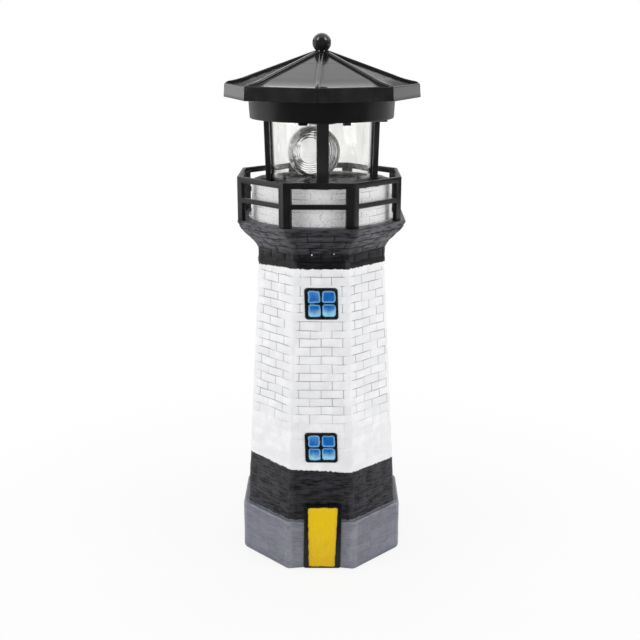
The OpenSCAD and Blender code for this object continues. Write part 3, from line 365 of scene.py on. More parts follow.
def wavy(x, z, size_mm, seed, waves=6, radius=0):
    """Sum of sine waves, about size_mm from crest to crest and mostly from -1 to 1. Where a radius
    is given, x is an angle, and each wave goes round a whole number of times."""
    pick = np.random.default_rng(seed)
    total = np.zeros(np.broadcast(x, z).shape)
    for _ in range(waves):
        lean, length = pick.uniform(0, np.pi), size_mm * pick.uniform(0.7, 1.5)
        across, up = (2 * np.pi / length * part for part in (math.cos(lean), math.sin(lean)))
        across = round(across * radius) if radius else across
        total += np.sin(across * x + up * z + pick.uniform(0, 2 * np.pi))
    return total / math.sqrt(waves)


def ripple(angle, z, size_mm, seed):
    """Waves round the tower, for every height and angle."""
    return wavy(angle[None, :], z[:, None], size_mm, seed, waves=9, radius=35)


def course_rows(lines):
    """Heights of the rows: five across each joint line, and one between two lines. Also each row's
    distance to its line, and its place counted in courses."""
    lines, count = np.asarray(lines, float), np.arange(len(lines))
    z = np.append(lines[:, None] + JOINT_OFFSETS, (lines[:-1] + lines[1:]) / 2)
    gap = np.append(np.tile(JOINT_OFFSETS, len(lines)), [NO_JOINT] * (len(lines) - 1))
    course = np.append(count[:, None] + JOINT_OFFSETS, count[:-1] + 0.5)
    order = np.argsort(z)
    return z[order], gap[order], course[order]


def joint_columns(joints, half_width):
    """Places across a face, from -1 to 1: five columns on each joint, one between."""
    stops = np.array([-1, *joints, 1])
    near_ends = [-1, -0.93, 0.93, 1]
    at_joint = joints[:, None] + JOINT_OFFSETS / half_width
    return np.unique(np.concatenate([near_ends, at_joint.ravel(),
                                     (stops[:-1] + stops[1:]) / 2]).round(6))


# %% [markdown]
# The relief itself is a depth for every point of the grid. A level joint lies under every course,
# and an upright joint lies in every second course only, so bricks break joint as in a real wall.

# %% Depth of the relief
def brick_relief(course, gap, joint, across, seed):
    """For rows x columns of points, how deep they lie in a level joint and in an upright joint, and
    a chance value per brick. Depth = e^-(distance to the joint's line / its width)^2."""
    pick = np.random.default_rng(seed)
    courses, joints = int(np.ceil(course.max())) + 2, int(joint.max()) + 2
    level = np.exp(-(gap / JOINT_W) ** 2)[:, None] * np.ones(len(joint))
    row = np.floor(course).astype(int)
    here = ((joint[None, :] + row[:, None]) % 2 == 0) & (joint[None, :] >= 0)
    force = pick.uniform(0.65, 1.0, (courses, joints))[row][:, joint.astype(int)]
    upright = np.exp(-(across / JOINT_W) ** 2)[None, :] * here * force
    passed = (joint[None, :] + (across[None, :] > 0) + row[:, None] % 2) // 2
    chance = pick.uniform(0, 1, (courses, joints + 2))
    tone = chance[row[:, None], passed.astype(int) % (joints + 2)]
    return level, upright, tone


# %% [markdown]
# ## The foot of the tower
# The base is 84 mm across its flats and 27 mm high, with soft worn corners and a ledge on top. It
# could be lathed with eight steps, but rings with a corner radius of their own give the rounded
# corners directly, and leave room for the shallow courses under the grey paint.

# %% The foot's rings
LEDGE_A, SHAFT_FOOT_A, SHAFT_TOP_A = 38.2, 39.35, 31.95
PITCH, SPAN = 0.42, 12.75
SHIFTS = [0.0, 0.09, -0.16, 0.2, -0.1, 0.14, -0.05, -0.27]


def nearest_joint(tag, joints):
    """For each column, the number of its nearest joint round the tower and the distance in mm."""
    number, gap = np.full(len(tag), -1), np.full(len(tag), NO_JOINT)
    for k in range(8):
        on = tag[:, 0] == k
        off = (tag[on, 1][:, None] - joints[k][None, :]) * SPAN
        best = np.abs(off).argmin(axis=1)
        gap[on] = off[np.arange(on.sum()), best]
        number[on] = 8 * k + np.round((joints[k][best] - SHIFTS[k]) / PITCH).astype(int) + 4
    return number, gap


# a face's joints start shifted from its middle, and none lies on a worn corner
joints = [np.array([k * PITCH + s for k in range(-3, 4) if abs(k * PITCH + s) < 0.93])
          for s in SHIFTS]
inner, outward, tag = octagon_columns([joint_columns(j, SPAN) for j in joints])
joint_no, joint_gap = nearest_joint(tag, joints)
angle = np.arctan2(inner[:, 1] + 0.2 * outward[:, 1], inner[:, 0] + 0.2 * outward[:, 0])
print("columns round the tower:", len(inner))

# %% Rings with relief
WINDOW_HALF = (8.25, 7.95)
stands_proud = {"door": (0.8, 18.8, 9.7, 17.8), "window_low": (0, 66.8, *WINDOW_HALF),
                "window_high": (0, 141.5, *WINDOW_HALF)}
SMOOTH_RIM, RIM_FADE, SUNK_BEHIND = 0.7, 0.5, 0.25
BRICK_STEP, ROW_LIFT, FULL_GROOVE, WAVE_CREST, OTHER_FACE = 0.09, 0.16, 0.26, 1.6, 99.0


def open_wall(a, z):
    """1 on open wall and 0 behind the door and windows and on the smooth rim round them."""
    x = tag[None, :, 1] * FLAT * a + OTHER_FACE * (tag[None, :, 0] != 0)
    keep = np.ones(np.broadcast(x, z).shape)
    for mid_x, mid_z, half_x, half_z in stands_proud.values():
        past = np.maximum(np.abs(x - mid_x) - half_x, np.abs(z - mid_z) - half_z)
        keep = keep * np.clip((past - SMOOTH_RIM) / RIM_FADE, 0, 1)
    return keep


def relief_rings(a, z, course, gap, depth, corner, seed, wobble=0.07, smooth_corner=0.55):
    """Outer rings of half widths `a` moved in by the joints and by chance, with their groove and
    tone. The level joints fade by `smooth_corner` where the tower's corners are worn."""
    level, upright, tone = brick_relief(course, gap, joint_no, joint_gap, seed)
    flow = np.clip(0.85 + 0.3 * ripple(angle, z, 16, seed + 1), 0.3, 1.0)
    worn = np.interp(np.abs(tag[:, 1]), [0.88, 0.98], [1, 1 - smooth_corner])
    keep = open_wall(a[:, None], z[:, None])
    groove = np.maximum(level * flow * worn, upright) * keep
    depth = np.broadcast_to(depth, len(a))[:, None]
    shift = (-depth * groove + BRICK_STEP * (tone - 1) * keep - SUNK_BEHIND * (1 - keep)
             + wobble * (ripple(angle, z, 9, seed + 2) - WAVE_CREST) * keep)[..., None]
    flat = (a[:, None, None] - corner) * inner[None] + (corner + shift) * outward[None]
    lift = ROW_LIFT * ripple(angle, z, 14, seed + 3) * (gap[:, None] < NO_JOINT)
    strength = np.clip(depth / FULL_GROOVE, 0, 1)
    return np.dstack([flat, z[:, None] + lift]), groove * strength, tone * keep, np.zeros(len(a))


def plain_rings(rings, worn=()):
    """Rings (a, z, corner radius) without relief; the `worn` ones are rubbed all round."""
    points = octagon_rings(rings, inner, outward)
    blank = np.zeros(points.shape[:2])
    return points, blank, blank, np.isin(np.arange(len(rings)), worn) * 1.0


def stacked(*groups):
    """Groups of rings joined into one closed wall, with groove, tone and edge wear."""
    points, groove, tone, rubbed = (np.concatenate(g) for g in zip(*groups))
    corner = 0.7 * (np.abs(tag[:, 1]) > 0.985)
    edge = np.maximum(rubbed[:, None], corner[None, :])
    return closed(points), {"groove": groove, "tone": tone, "edge": edge}


# %% The foot
foot_lines = np.array([4.4, 8.9, 13.5, 18.0, 22.4])
z, gap, course = course_rows(foot_lines)
foot_out = relief_rings(np.full(len(z), 42.0), z, course, gap, 0.16, 4.6, 5, 0.06)
foot_low = plain_rings([(40.6, 0, 3.0), (41.15, 0.2, 3.5), (41.6, 0.7, 4.0), (41.85, 1.5, 4.4),
                        (41.93, 2.6, 4.6)])
foot_top = plain_rings([(41.9, 25.4, 4.6), (41.75, 26.2, 4.5), (41.4, 26.75, 4.2),
                        (40.9, 27.0, 3.8), (40.4, 27.0, 3.3), (SHAFT_FOOT_A, 26.98, 3.0),
                        (LEDGE_A, 26.9, 3.0), (36.0, 26.0, 2.5)], worn=(2, 3))
foot_in = plain_rings([(34.35, 26.0, 1.5), (34.35, 0.6, 1.5), (34.8, 0, 1.5)])
foot_wall, foot_values = stacked(foot_low, foot_out, foot_top, foot_in)
# the casting's foot is hollow-worn under the door, as deep as 1 - (x / its half width)^2
WORN_DEEP, WORN_HALF, WORN_HIGH, FRONT_Y = 1.2, 17.4, 4.2, -36
x, y, z = np.moveaxis(foot_wall[0], -1, 0)
arch = np.clip(1 - (x / WORN_HALF) ** 2, 0, 1) * np.clip(1 - z / WORN_HIGH, 0, 1)
foot_wall[0][..., 2] += WORN_DEEP * arch * (y < FRONT_Y)
make_piece("tower_foot", [foot_wall], tower_paint, "tower", "cast_resin", ["tower_casting"],
           **foot_values)

# %% [markdown]
# ## The shaft, the neck and the flare
# The shaft narrows from 78.7 to 63.9 mm across its flats, then the black neck rises straight and
# flares out in an S-curve to carry the gallery. The white courses are the crispest on the tower,
# and fade towards the bottom, where the paint is thickest.

# %% The shaft
shaft_lines = 31.2 + 4.4 * np.arange(30) + rng.uniform(-0.25, 0.25, 30)
z, gap, course = course_rows(shaft_lines[shaft_lines < 157])
half = SHAFT_FOOT_A + (z - BASE_TOP) / (NECK_FROM - BASE_TOP) * (SHAFT_TOP_A - SHAFT_FOOT_A)
depth = np.interp(z, [30, 52, 56, 74, 88, 158], [0.1, 0.1, 0.09, 0.12, 0.26, 0.28])
shaft_out = relief_rings(half, z, course, gap, depth, 3.0, 11)
shaft_low = plain_rings([(SHAFT_FOOT_A, 26.2, 3.0), (SHAFT_FOOT_A, 27.4, 3.0)])
print("rows up the shaft:", len(z))

# %% The neck, the flare and the gallery's floor
NECK_A, GALLERY_A, FLARE_FROM, FLARE_TO = 32.25, 42.0, 165.0, 179.9
neck_lines = np.array([162.0, 165.9, 169.7, 173.3, 176.7])
z, gap, course = course_rows(neck_lines)
half = NECK_A + smooth_step(z, FLARE_FROM, FLARE_TO) * (GALLERY_A - NECK_A)
neck_out = relief_rings(half, z, course, gap, 0.26, 2.6, 23, 0.1, 0.2)
neck_low = plain_rings([(31.9, 158.0, 3.0), (32.1, 158.45, 2.8), (32.2, 159.0, 2.6),
                        (32.2, 160.4, 2.6)])
gallery = plain_rings([(41.1, 178.2, 2.6), (41.7, 179.0, 2.6), (41.95, 179.7, 2.6),
                       (41.9, 180.1, 2.6), (41.6, 180.32, 2.5), (41.2, GALLERY_Z, 2.4),
                       (39.0, GALLERY_Z, 4.0), (35.5, GALLERY_Z, 35.5), (34.0, 178.0, 34.0),
                       (24.7, 172.62, 24.7)], worn=(2, 3, 4))
hollow = plain_rings([(26.95, 172.6, 1.5), (26.95, 158.4, 1.5), (34.35, 27.0, 1.5),
                      (34.4, 26.2, 1.5)])
shaft_wall, shaft_values = stacked(shaft_low, shaft_out, neck_low, neck_out, gallery, hollow)
make_piece("tower_shaft", [shaft_wall], tower_paint, "tower", "cast_resin", ["tower_casting"],
           **shaft_values)

# %% [markdown]
# ## The drum on the gallery
# The round drum has five courses and holds the lantern in a socket, with two slots for the keys
# that stop it from turning. It is a turned shape, so its columns are angles, and the slots are
# columns that reach further out.

# %% The drum
DRUM_R, DRUM_H, DRUM_BRICKS = 36.0, 17.9, 44
drum_joint = np.arange(DRUM_BRICKS) / DRUM_BRICKS * 2 * np.pi
drum_angle = (drum_joint[:, None] + np.append(JOINT_OFFSETS, 2.5) / DRUM_R).ravel()
slot_edge = math.asin(1.9 / 30.3)
slot_angle = np.array([s + e * slot_edge for s in (0, np.pi) for e in (-1.02, -0.98, 0.98, 1.02)])
drum_angle = np.concatenate([drum_angle, slot_angle]) % (2 * np.pi)
drum_no = np.append(np.repeat(np.arange(DRUM_BRICKS), 6), [0] * 8)
drum_gap = np.append(np.tile([*JOINT_OFFSETS, NO_JOINT], DRUM_BRICKS), [NO_JOINT] * 8)
order = np.argsort(drum_angle)
drum_angle, drum_no, drum_gap = drum_angle[order], drum_no[order], drum_gap[order]

z, gap, course = course_rows([180.5, 184.0, 187.1, 190.2, 193.3, 196.2])
level, upright, drum_tone = brick_relief(course, gap, drum_no, drum_gap, 31)
drum_groove = np.maximum(level * (0.7 + 0.3 * ripple(drum_angle, z, 16, 32)), upright)
drum_wave = ripple(drum_angle, z, 9, 33)
drum_r = (DRUM_R - 0.3 * (z[:, None] - GALLERY_Z) / DRUM_H - 0.17 * drum_groove
          + 0.06 * (drum_tone - 1) + 0.05 * (drum_wave - WAVE_CREST))
rim = np.array([(35.6, 197.2), (35.55, 197.8), (35.4, 198.15), (35.2, 198.27), (35.0, 198.22),
                (34.85, 197.9), (34.8, 195.2), (34.75, 194.9), (30.5, 194.9), (30.32, 194.7),
                (30.3, 180.7), (30.2, 180.6), (24.5, 180.6), (24.3, 180.4), (24.3, 172.7),
                (24.4, 172.6), (24.9, 172.62), (34.5, 178.2)])
in_slot = np.abs(np.sin(drum_angle)) < math.sin(slot_edge)
rim_r = np.repeat(rim[:, :1], len(drum_angle), 1)
reach = (rim[:, 0] > 29) & (rim[:, 0] < 31) & (rim[:, 1] > 180)
rim_r[reach] = np.where(in_slot, rim_r[reach] + 1.1, rim_r[reach])
radius = np.concatenate([drum_r, rim_r])
chips = np.minimum(ripple(drum_angle, 0 * rim[:, 1], 5, 34), 0) * 0.3
height = np.concatenate([np.repeat(z[:, None], len(drum_angle), 1),
                         rim[:, 1:] + chips * (rim[:, 1:] > 197)])
drum_points = np.dstack([radius * np.cos(drum_angle), radius * np.sin(drum_angle), height])
plain = np.zeros(rim_r.shape)
make_piece("tower_drum", [closed(drum_points)], tower_paint, "tower", "cast_resin",
           ["tower_casting"], groove=np.concatenate([drum_groove * 0.7, plain]),
           tone=np.concatenate([drum_tone, plain]))

# %% [markdown]
# ## The door and the windows
# These stand out from the wall as low reliefs: a rounded frame with a sunken panel or four sunken
# panes. They were cast with the tower and painted by hand in gloss enamel. Each is a height field:
# a flat grid of points pushed forward by a function of where they are, with a skirt back into the
# wall. A slight ripple in the outlines keeps them from looking machined.

# %% A relief on a flat face
GRID_STEP = 0.2


def box_distance(x, z, half_x, half_z, corner):
    """Distance outside a rounded rectangle, negative inside."""
    qx, qz = np.abs(x) - half_x + corner, np.abs(z) - half_z + corner
    past_corner = np.hypot(np.maximum(qx, 0), np.maximum(qz, 0))
    return past_corner + np.minimum(np.maximum(qx, qz), 0) - corner


def relief_piece(name, half_x, half_z, corner, holes, proud, sunk, back, middle, slope, lean,
                 finish, seed):
    """Height field with a skirt: x right, z up the wall; holes are (x, z, half_x, half_z, corner,
    taper, wash at the top, wash at the foot). `lean` shifts the top to the right, in mm."""
    x, z = np.meshgrid(*(np.linspace(-half, half, round(2 * half / GRID_STEP) + 1)
                         for half in (half_x, half_z)))
    outside = box_distance(x, z, half_x, half_z, corner)
    cx = np.clip(x, corner - half_x, half_x - corner)
    cz = np.clip(z, corner - half_z, half_z - corner)
    pull = np.where(outside > 0, corner / np.maximum(np.hypot(x - cx, z - cz), 1e-6), 1)
    x, z = cx + (x - cx) * pull, cz + (z - cz) * pull
    edge = box_distance(x, z, half_x, half_z, corner) + 0.12 * wavy(x, z, 5, seed)
    front = proud * (1 - 0.75 * smooth_step(edge, -0.75, 0.0)) - 0.03
    pane, rim, wash = np.zeros(x.shape), np.full(x.shape, 3.0), np.zeros(x.shape)
    for hx, hz, hw, hh, hc, taper, wash_top, wash_foot in holes:
        down = np.clip((hz + hh - z) / (2 * hh), 0, 1)
        inside = (-box_distance(x - hx, z - hz, hw - taper * down, hh, hc)
                  + 0.12 * np.clip(wavy(x, z, 4, seed + 1), -1, 1))
        near = smooth_step(inside, -0.2, 0.35)
        front = front - (sunk - 0.05 * np.clip(wavy(x, z, 3, seed + 2), -1, 1)) * near
        here = inside > -0.3
        pane = np.maximum(pane, smooth_step(inside, -0.12, 0.12))
        rim = np.where(here, np.clip(inside, 0, 3), rim)
        flow = down + 0.07 * wavy(x, z, 6, seed + 4)
        wash = np.where(here, wash_top + (wash_foot - wash_top) * smooth_step(flow, 0.1, 1.0),
                        wash)
    front = front + 0.025 * wavy(x, z, 2.2, seed + 3)
    pad = [(1, 1), (1, 1)]
    x, z = np.pad(x + lean * z / half_z, pad, mode="edge"), np.pad(z, pad, mode="edge")
    depth = np.pad(-front, pad, constant_values=back)
    c, s = math.cos(math.atan(slope)), math.sin(math.atan(slope))
    points = np.dstack([x, depth * c + z * s, z * c - depth * s]) + middle
    rows, cols = x.shape
    n = np.arange(rows * cols).reshape(rows, cols)
    ring = np.concatenate([n[0, 1:-1], n[1:-1, -1], n[-1, -2:0:-1], n[-2:0:-1, 0]])
    part = (points, grid_quads(rows, cols, loop_cols=False), [ring[::-1].tolist()])
    values = {"pane": pane, "rim": rim, "wash": wash}
    make_piece(name, [part], finish, "tower", "cast_resin", ["tower_casting"],
               **{key: np.pad(v, pad, mode="edge") for key, v in values.items()})


# %% [markdown]
# The enamel is glossier than the wall paint. The frames are black. The door's panel is a warm
# yellow laid on in upright strokes. Each pane has a thin pale rim, where the enamel drew back from
# the frame, a blue middle, and a pale wash that runs in from its foot.

# %% Gloss enamel
def gloss_enamel(name, middle, wash_colour, rim_colour, rim_mm, strokes):
    """Hand-brushed gloss enamel, IOR 1.5: black frame, and panes shaded from rim to middle."""
    finish, add = new_finish(name)
    pane, rim, wash = (add("Attribute", attribute_name=key, out="Fac")
                       for key in ("pane", "rim", "wash"))
    stroke = speckle(add, 1.8, 3, 0.6, stretch=strokes)
    wash = add("Math", wash, add("MapRange", stroke, 0.3, 0.7, -0.05, 0.05), operation="ADD")
    glass = paint(add, middle, (wash, 0, 1, wash_colour), (rim, *rim_mm, 0.75, 0, rim_colour))
    colour = paint(add, "#08080a", (stroke, 0.3, 0.7, "#17171a"), (pane, glass))
    return cover(finish, add, colour, (stroke, 0.3, 0.7, 0.2, 0.36), (stroke, 0.06, 0.3),
                 {"IOR": 1.5, "Specular IOR Level": 0.35})


window_enamel = gloss_enamel("blue gloss enamel", "#0060b4", "#a4def2", "#86c6ee", (0.1, 1.1),
                             (1, 1, 1))
door_enamel = gloss_enamel("yellow gloss enamel", "#e6c105", "#cfa205", "#b39a18", (0.0, 0.5),
                           (0.4, 1, 5))
print("finishes:", window_enamel.name, "and", door_enamel.name)

# %% The door and both windows
door_holes = [(-0.1, 0.22, 7.64, 16.7, 0.8, 0.98, 0.0, 0.5)]
relief_piece("door", 9.6, 17.6, 1.2, door_holes, 0.7, 0.45, 5.6, (0.8, -42.0, 18.78), 0.0, 0.3,
             door_enamel, 41)
pane_holes = [(-3.55, 3.55, 3.0, 3.0, 1.1, 0.15, 0.25, 0.05),
              (3.75, 3.6, 3.25, 3.0, 1.3, 0, 0.0, 0.0),
              (-3.5, -3.4, 3.0, 3.1, 1.2, 0.1, 0.0, 0.75),
              (3.75, -3.2, 3.25, 3.1, 1.5, 0, 0.05, 0.85)]
wall_slope = (SHAFT_FOOT_A - SHAFT_TOP_A) / (NECK_FROM - BASE_TOP)
for name, seed in (("window_low", 51), ("window_high", 61)):
    mid_z = stands_proud[name][1]
    wall_a = SHAFT_FOOT_A - (mid_z - BASE_TOP) * wall_slope
    relief_piece(name, *WINDOW_HALF, 1.5, pane_holes, 0.7, 0.42, 1.5, (0.1, -wall_a, mid_z),
                 wall_slope, -0.25, window_enamel, seed)

# %% [markdown]
# ## Moulded plastics
# The railing and the lantern are injection-moulded ABS, a tough opaque plastic. Its refractive
# index is about 1.54. The mould gives the finish: spark-eroded steel leaves a fine matt grain, and
# polished steel leaves a gloss that mirrors the studio. Handling rubs the grain smooth in patches,
# and rubs edges lighter. One function makes every moulded finish from its own colours and grain.

# %% Moulded finishes
def moulded(name, base, worn, rough, grain_mm, grain_depth, ior, extra=()):
    """Moulded plastic: colour patches 12 mm wide, a mould grain, and roughness that wanders."""
    # a spark-eroded grain is about 0.1 mm, too fine to show, so it is drawn about 0.5 mm wide
    finish, add = new_finish(name)
    patch, grain = speckle(add, 12, 3, 0.6), speckle(add, grain_mm, 2, 0.5)
    # wear: on a convex edge the surface points away from its middle, so pointiness is over a half;
    # hollow corners, where pointiness is under a half, get painted shade
    pointed = add("NewGeometry", out="Pointiness")
    colour = paint(add, base, (patch, 0.35, 0.7, worn), (pointed, 0.53, 0.62, 0, 0.35, worn),
                   (pointed, 0.36, 0.46, 0.8, 0, "#050505"))
    return cover(finish, add, colour, (patch, 0.3, 0.7, *rough), (grain, grain_depth, 0.5),
                 {"IOR": ior, **dict(extra)})


satin_abs = moulded("satin black ABS", "#0a0a0b", "#151517", (0.26, 0.36), 0.5, 0.02, 1.54)
# the housing's black is mixed darker than the railing's as painted shade; the posts' black is mixed
# lighter, partly a duller black of their own and partly painted light against the shade under the
# eaves
housing_abs_painted_shade = moulded("fine-grained black ABS darkened as painted shade", "#060607", "#0d0d0f", (0.3, 0.4), 0.5, 0.03, 1.54)
post_abs_partly_painted_light = moulded("matt black ABS lightened partly as painted light", "#1b1b1c", "#28282a", (0.32, 0.42), 0.5, 0.03, 1.54)
gloss_abs = moulded("polished black ABS", "#161617", "#222224", (0.10, 0.18), 6, 0.02, 1.54)
white_acetal = moulded("white acetal", "#dcdad2", "#cfccc2", (0.32, 0.45), 0.6, 0.02, 1.48,
                       {"Subsurface Weight": 0.15, "Subsurface Radius": (0.002, 0.002, 0.002)})
dark_nylon = moulded("dark nylon", "#2c2c2f", "#3b3b3e", (0.4, 0.55), 0.5, 0.03, 1.53)
knob_nylon = moulded("blue-black nylon", "#191b2b", "#2a2c3c", (0.35, 0.5), 0.5, 0.03, 1.53)
lead_pvc = moulded("red and black PVC", "#5a1414", "#7a1f1c", (0.3, 0.45), 0.5, 0.02, 1.53)
cell_pvc = moulded("green shrink film", "#1f6b3c", "#2f8450", (0.12, 0.25), 3, 0.05, 1.53)
laminate = moulded("green circuit laminate", "#0f4a26", "#1a5c33", (0.25, 0.4), 0.4, 0.02, 1.55,
                   {"Coat Weight": 0.3})
print("finishes so far:", len(bpy.data.materials))

# %% [markdown]
# ## Clear plastics, glass and metals
# The lantern's tube is acrylic, 1.5 mm thick with an index of 1.49, and its lens is clear
# polystyrene, whose index of 1.59 bends light more and gives it darker, brighter edges. The lamp is
# epoxy with a warm tint. The panes on the roof are dark silicon cells under glossy glass. The
# screws and the spring are zinc-plated steel, where faint crystals show as patches of roughness.

# %% Clear and metal finishes
def clear(name, tint, ior, rough, flow_deep, smoky=None):
    """Transparent moulding: full transmission, with faint flow marks 8 mm wide. Its inside may
    swallow light: about e^(-smoky d) is left after d metres, so long paths at edges turn dark."""
    finish, add = new_finish(name)
    flow = speckle(add, 8, 3, 0.6, stretch=(1, 1, 3))
    colour = paint(add, tint[0], (flow, 0.3, 0.7, tint[1]))
    smoke = add("VolumeAbsorption", "#3c3c3c", smoky) if smoky else None
    return cover(finish, add, colour, (flow, 0.35, 0.7, *rough), (flow, flow_deep, 0.3),
                 {"IOR": ior, "Transmission Weight": 1.0}, smoke)


def plated_steel(name, bright, dull, rough):
    """Plated steel: metallic, with 1.5 mm patches of plating. Scratches are drawn 0.2 mm wide,
    ten times too coarse, so that they show."""
    finish, add = new_finish(name)
    patch, scratch = speckle(add, 1.5, 3, 0.6), speckle(add, 0.9, 2, 0.5, stretch=(0.2, 0.2, 2))
    return cover(finish, add, paint(add, bright, (patch, 0.35, 0.7, dull)),
                 (patch, 0.3, 0.7, *rough), (scratch, 0.01, 0.4), {"Metallic": 1.0})


def silicon_glass():
    """Silicon cells under glass: near-black, with crystals 3 mm across that differ a little."""
    finish, add = new_finish("silicon cells under glass")
    crystal = speckle(add, 3, 1, 0.4)
    colour = paint(add, "#1c1c20", (crystal, 0.35, 0.65, "#26262b"))
    return cover(finish, add, colour, (crystal, 0.3, 0.7, 0.1, 0.17), inputs={"IOR": 1.52})


acrylic = clear("clear acrylic", ("#f3f3f0", "#ffffff"), 1.49, (0.0, 0.02), 0.003)
lens_plastic = clear("clear polystyrene", ("#eef0f0", "#ffffff"), 1.59, (0.0, 0.02), 0.01, 70)
edge_plastic = clear("smoky polystyrene", ("#eef0f0", "#ffffff"), 1.59, (0.0, 0.03), 0.05, 165)
lamp_epoxy = clear("warm lamp epoxy", ("#fff3d6", "#fffaf0"), 1.53, (0.02, 0.08), 0.02)
zinc = plated_steel("zinc-plated steel", "#c9cacc", "#a9abad", (0.22, 0.4))
black_steel = plated_steel("blackened steel", "#3a3a3e", "#2a2a2d", (0.3, 0.45))
solar_glass = silicon_glass()
print("finishes so far:", len(bpy.data.materials))

# %% [markdown]
# ## The gallery railing
# The railing is a ring of two rails and eight bent corner posts. Its measured shape is right, but a
# moulding has small round edges that catch the light. A copy of the measured mesh is merged into
# whole faces, and a Bevel modifier rounds every edge by a fraction of a millimetre.

# %% Rounding a measured piece
def rounded_copy(node, width_mm, finish, body):
    """A merged copy of a CAD node with its edges over 35 degrees rounded."""
    mesh = frame["nodes"][node].data.copy()
    work = bmesh.new()
    work.from_mesh(mesh)
    bmesh.ops.remove_doubles(work, verts=work.verts, dist=2e-6)
    bmesh.ops.dissolve_limit(work, angle_limit=math.radians(0.6), verts=work.verts,
                             edges=work.edges)
    work.to_mesh(mesh)
    work.free()
    mesh.materials.clear()
    mesh.materials.append(finish)
    mesh.shade_smooth()
    obj = new_object(node + "_rounded", mesh)
    bevel = obj.modifiers.new("round edges", "BEVEL")
    bevel.width, bevel.segments = width_mm * MM, 3
    bevel.limit_method, bevel.angle_limit = "ANGLE", math.radians(35)
    bevel.use_clamp_overlap, bevel.harden_normals = False, True
    fit_out(obj, body, [node])


rounded_copy("gallery_railing", 0.3, satin_abs, "tower")
rounded_copy("lens_carrier", 0.3, satin_abs, "rotor")
rounded_copy("battery_holder", 0.15, dark_nylon, "lantern_head")

# %% [markdown]
# ## The lantern's cage
# The cage is one moulding: a floor plate, the plug under it that drops into the drum, and four flat
# posts that lean outwards with the clear tube. The plate and plug are a turned profile. Each post
# is a rounded rectangle carried up along the tube, and small raised eyelets mark the four vents.

# %% The floor plate and its plug
PLATE_TOP, PLATE_UNDER, PLATE_R = 197.4, 194.9, 34.5
plate_outline = [(0, PLATE_UNDER), (28.2, PLATE_UNDER), (28.2, 180.9), (30.0, 180.9),
                 (30.0, PLATE_UNDER + 0.02), (PLATE_R, PLATE_UNDER + 0.02), (PLATE_R, PLATE_TOP),
                 (0, PLATE_TOP)]
plate = turned(soft_corners(plate_outline, [0.002, 0.3, 0.4, 0.4, 0.2, 0.3, 0.45, 0.002]))


def rounded_box(half_x, half_y, corner, steps=4):
    """Anticlockwise outline of a rounded rectangle."""
    box = [(-half_x, -half_y), (half_x, -half_y), (half_x, half_y), (-half_x, half_y)]
    return soft_corners(box, corner, steps)


def standing(outline, levels):
    """An outline carried up through (centre x, centre y, z, inset) levels, closed at both ends."""
    size = np.abs(outline).max(axis=0)
    return lofted([np.pad(outline * (1 - inset / size), ((0, 0), (0, 1))) + (x, y, z)
                   for x, y, z, inset in levels])


def moved(part, by):
    """A part moved by x, y and z."""
    return part[0] + by, *part[1:]


def spun(part, degrees):
    """A part turned about the upright axis."""
    c, s = math.cos(math.radians(degrees)), math.sin(math.radians(degrees))
    return part[0] @ np.array([[c, s, 0], [-s, c, 0], [0, 0, 1]]), *part[1:]


# %% The posts, keys and vents
HOUSING_Z, CAGE_TURN = 229.3, 1.5
GLASS_FOOT, GLASS_TOP = (25.5, 196.62), (26.4, 230.08)
glass_lean = (GLASS_TOP[0] - GLASS_FOOT[0]) / (GLASS_TOP[1] - GLASS_FOOT[1])


def glass_r(z):
    """Outer radius of the clear tube: it grows evenly with height."""
    return GLASS_FOOT[0] + glass_lean * (z - GLASS_FOOT[1])


POST_HALF, KEY_AT = 1.35, 29.9
post = standing(rounded_box(POST_HALF, 2.9, 0.55),
                [(glass_r(z) + 0.05 + POST_HALF, 0, z, 0) for z in (196.2, 205.0, 217.0, 229.28)])
key = standing(rounded_box(1.2, 1.6, 0.3),
               [(KEY_AT, 0, 180.95, 0.25), (KEY_AT, 0, 181.2, 0), (KEY_AT, 0, 194.8, 0)])
eyelet_outline = [(0, 197.3), (1.9, 197.3), (1.75, 197.62), (1.35, 197.62), (1.2, 197.42),
                  (0, 197.42)]
eyelet = turned(soft_corners(eyelet_outline, [0.002, 0.1, 0.12, 0.12, 0.1, 0.002], 3), steps=32)
vents = [moved(eyelet, (x, y, 0)) for x, y in ((-20, 3), (-7.6, 3), (7, 6), (18.5, 7))]
cage = ([spun(post, CAGE_TURN + 90 * k) for k in range(4)]
        + [spun(v, CAGE_TURN) for v in vents] + [key, spun(key, 180)])
make_piece("cage", cage, post_abs_partly_painted_light, "lantern_head", "black_plastic", ["lantern_cage"])
make_piece("floor_plate", [plate], gloss_abs, "lantern_head", "black_plastic", ["lantern_cage"])

# %% [markdown]
# ## The clear tube
# The tube stands in grooves in the plate and the housing. It is a turned wall with rounded lips,
# and real thickness matters: light bends at all four surfaces, which darkens its sides.

# %% The tube
WALL_T = 1.5
tube = turned(soft_corners([(GLASS_FOOT[0] - WALL_T, GLASS_FOOT[1]), GLASS_FOOT, GLASS_TOP,
                            (GLASS_TOP[0] - WALL_T, GLASS_TOP[1])], 0.4), steps=192)
make_piece("clear_tube", [tube], acrylic, "lantern_head", "clear_plastic", ["lantern_glass"])

# %% [markdown]
# ## The turning lens
# A Fresnel lens is a thick lens cut into rings and flattened, so that a thin moulding can gather
# the lamp's light. Each ring is a slope that drops back at its edge. The lens and its barrel are
# turned shapes that point away from the lamp, so a turned part is laid along that direction.

# %% Aiming a turned part
LENS_TURN, LENS_Z, LENS_R = 18.6, 210.7, 13.0
aim = math.radians(LENS_TURN)
ahead = np.array([-math.sin(aim), math.cos(aim), 0])
aside = np.array([math.cos(aim), math.sin(aim), 0])


def aimed(part):
    """Lays a part turned about Z along the lens's direction: z goes ahead and y goes down."""
    points = part[0] @ np.array([aside, (0, 0, -1), ahead])
    return moved((points, *part[1:]), (0, 0, LENS_Z))


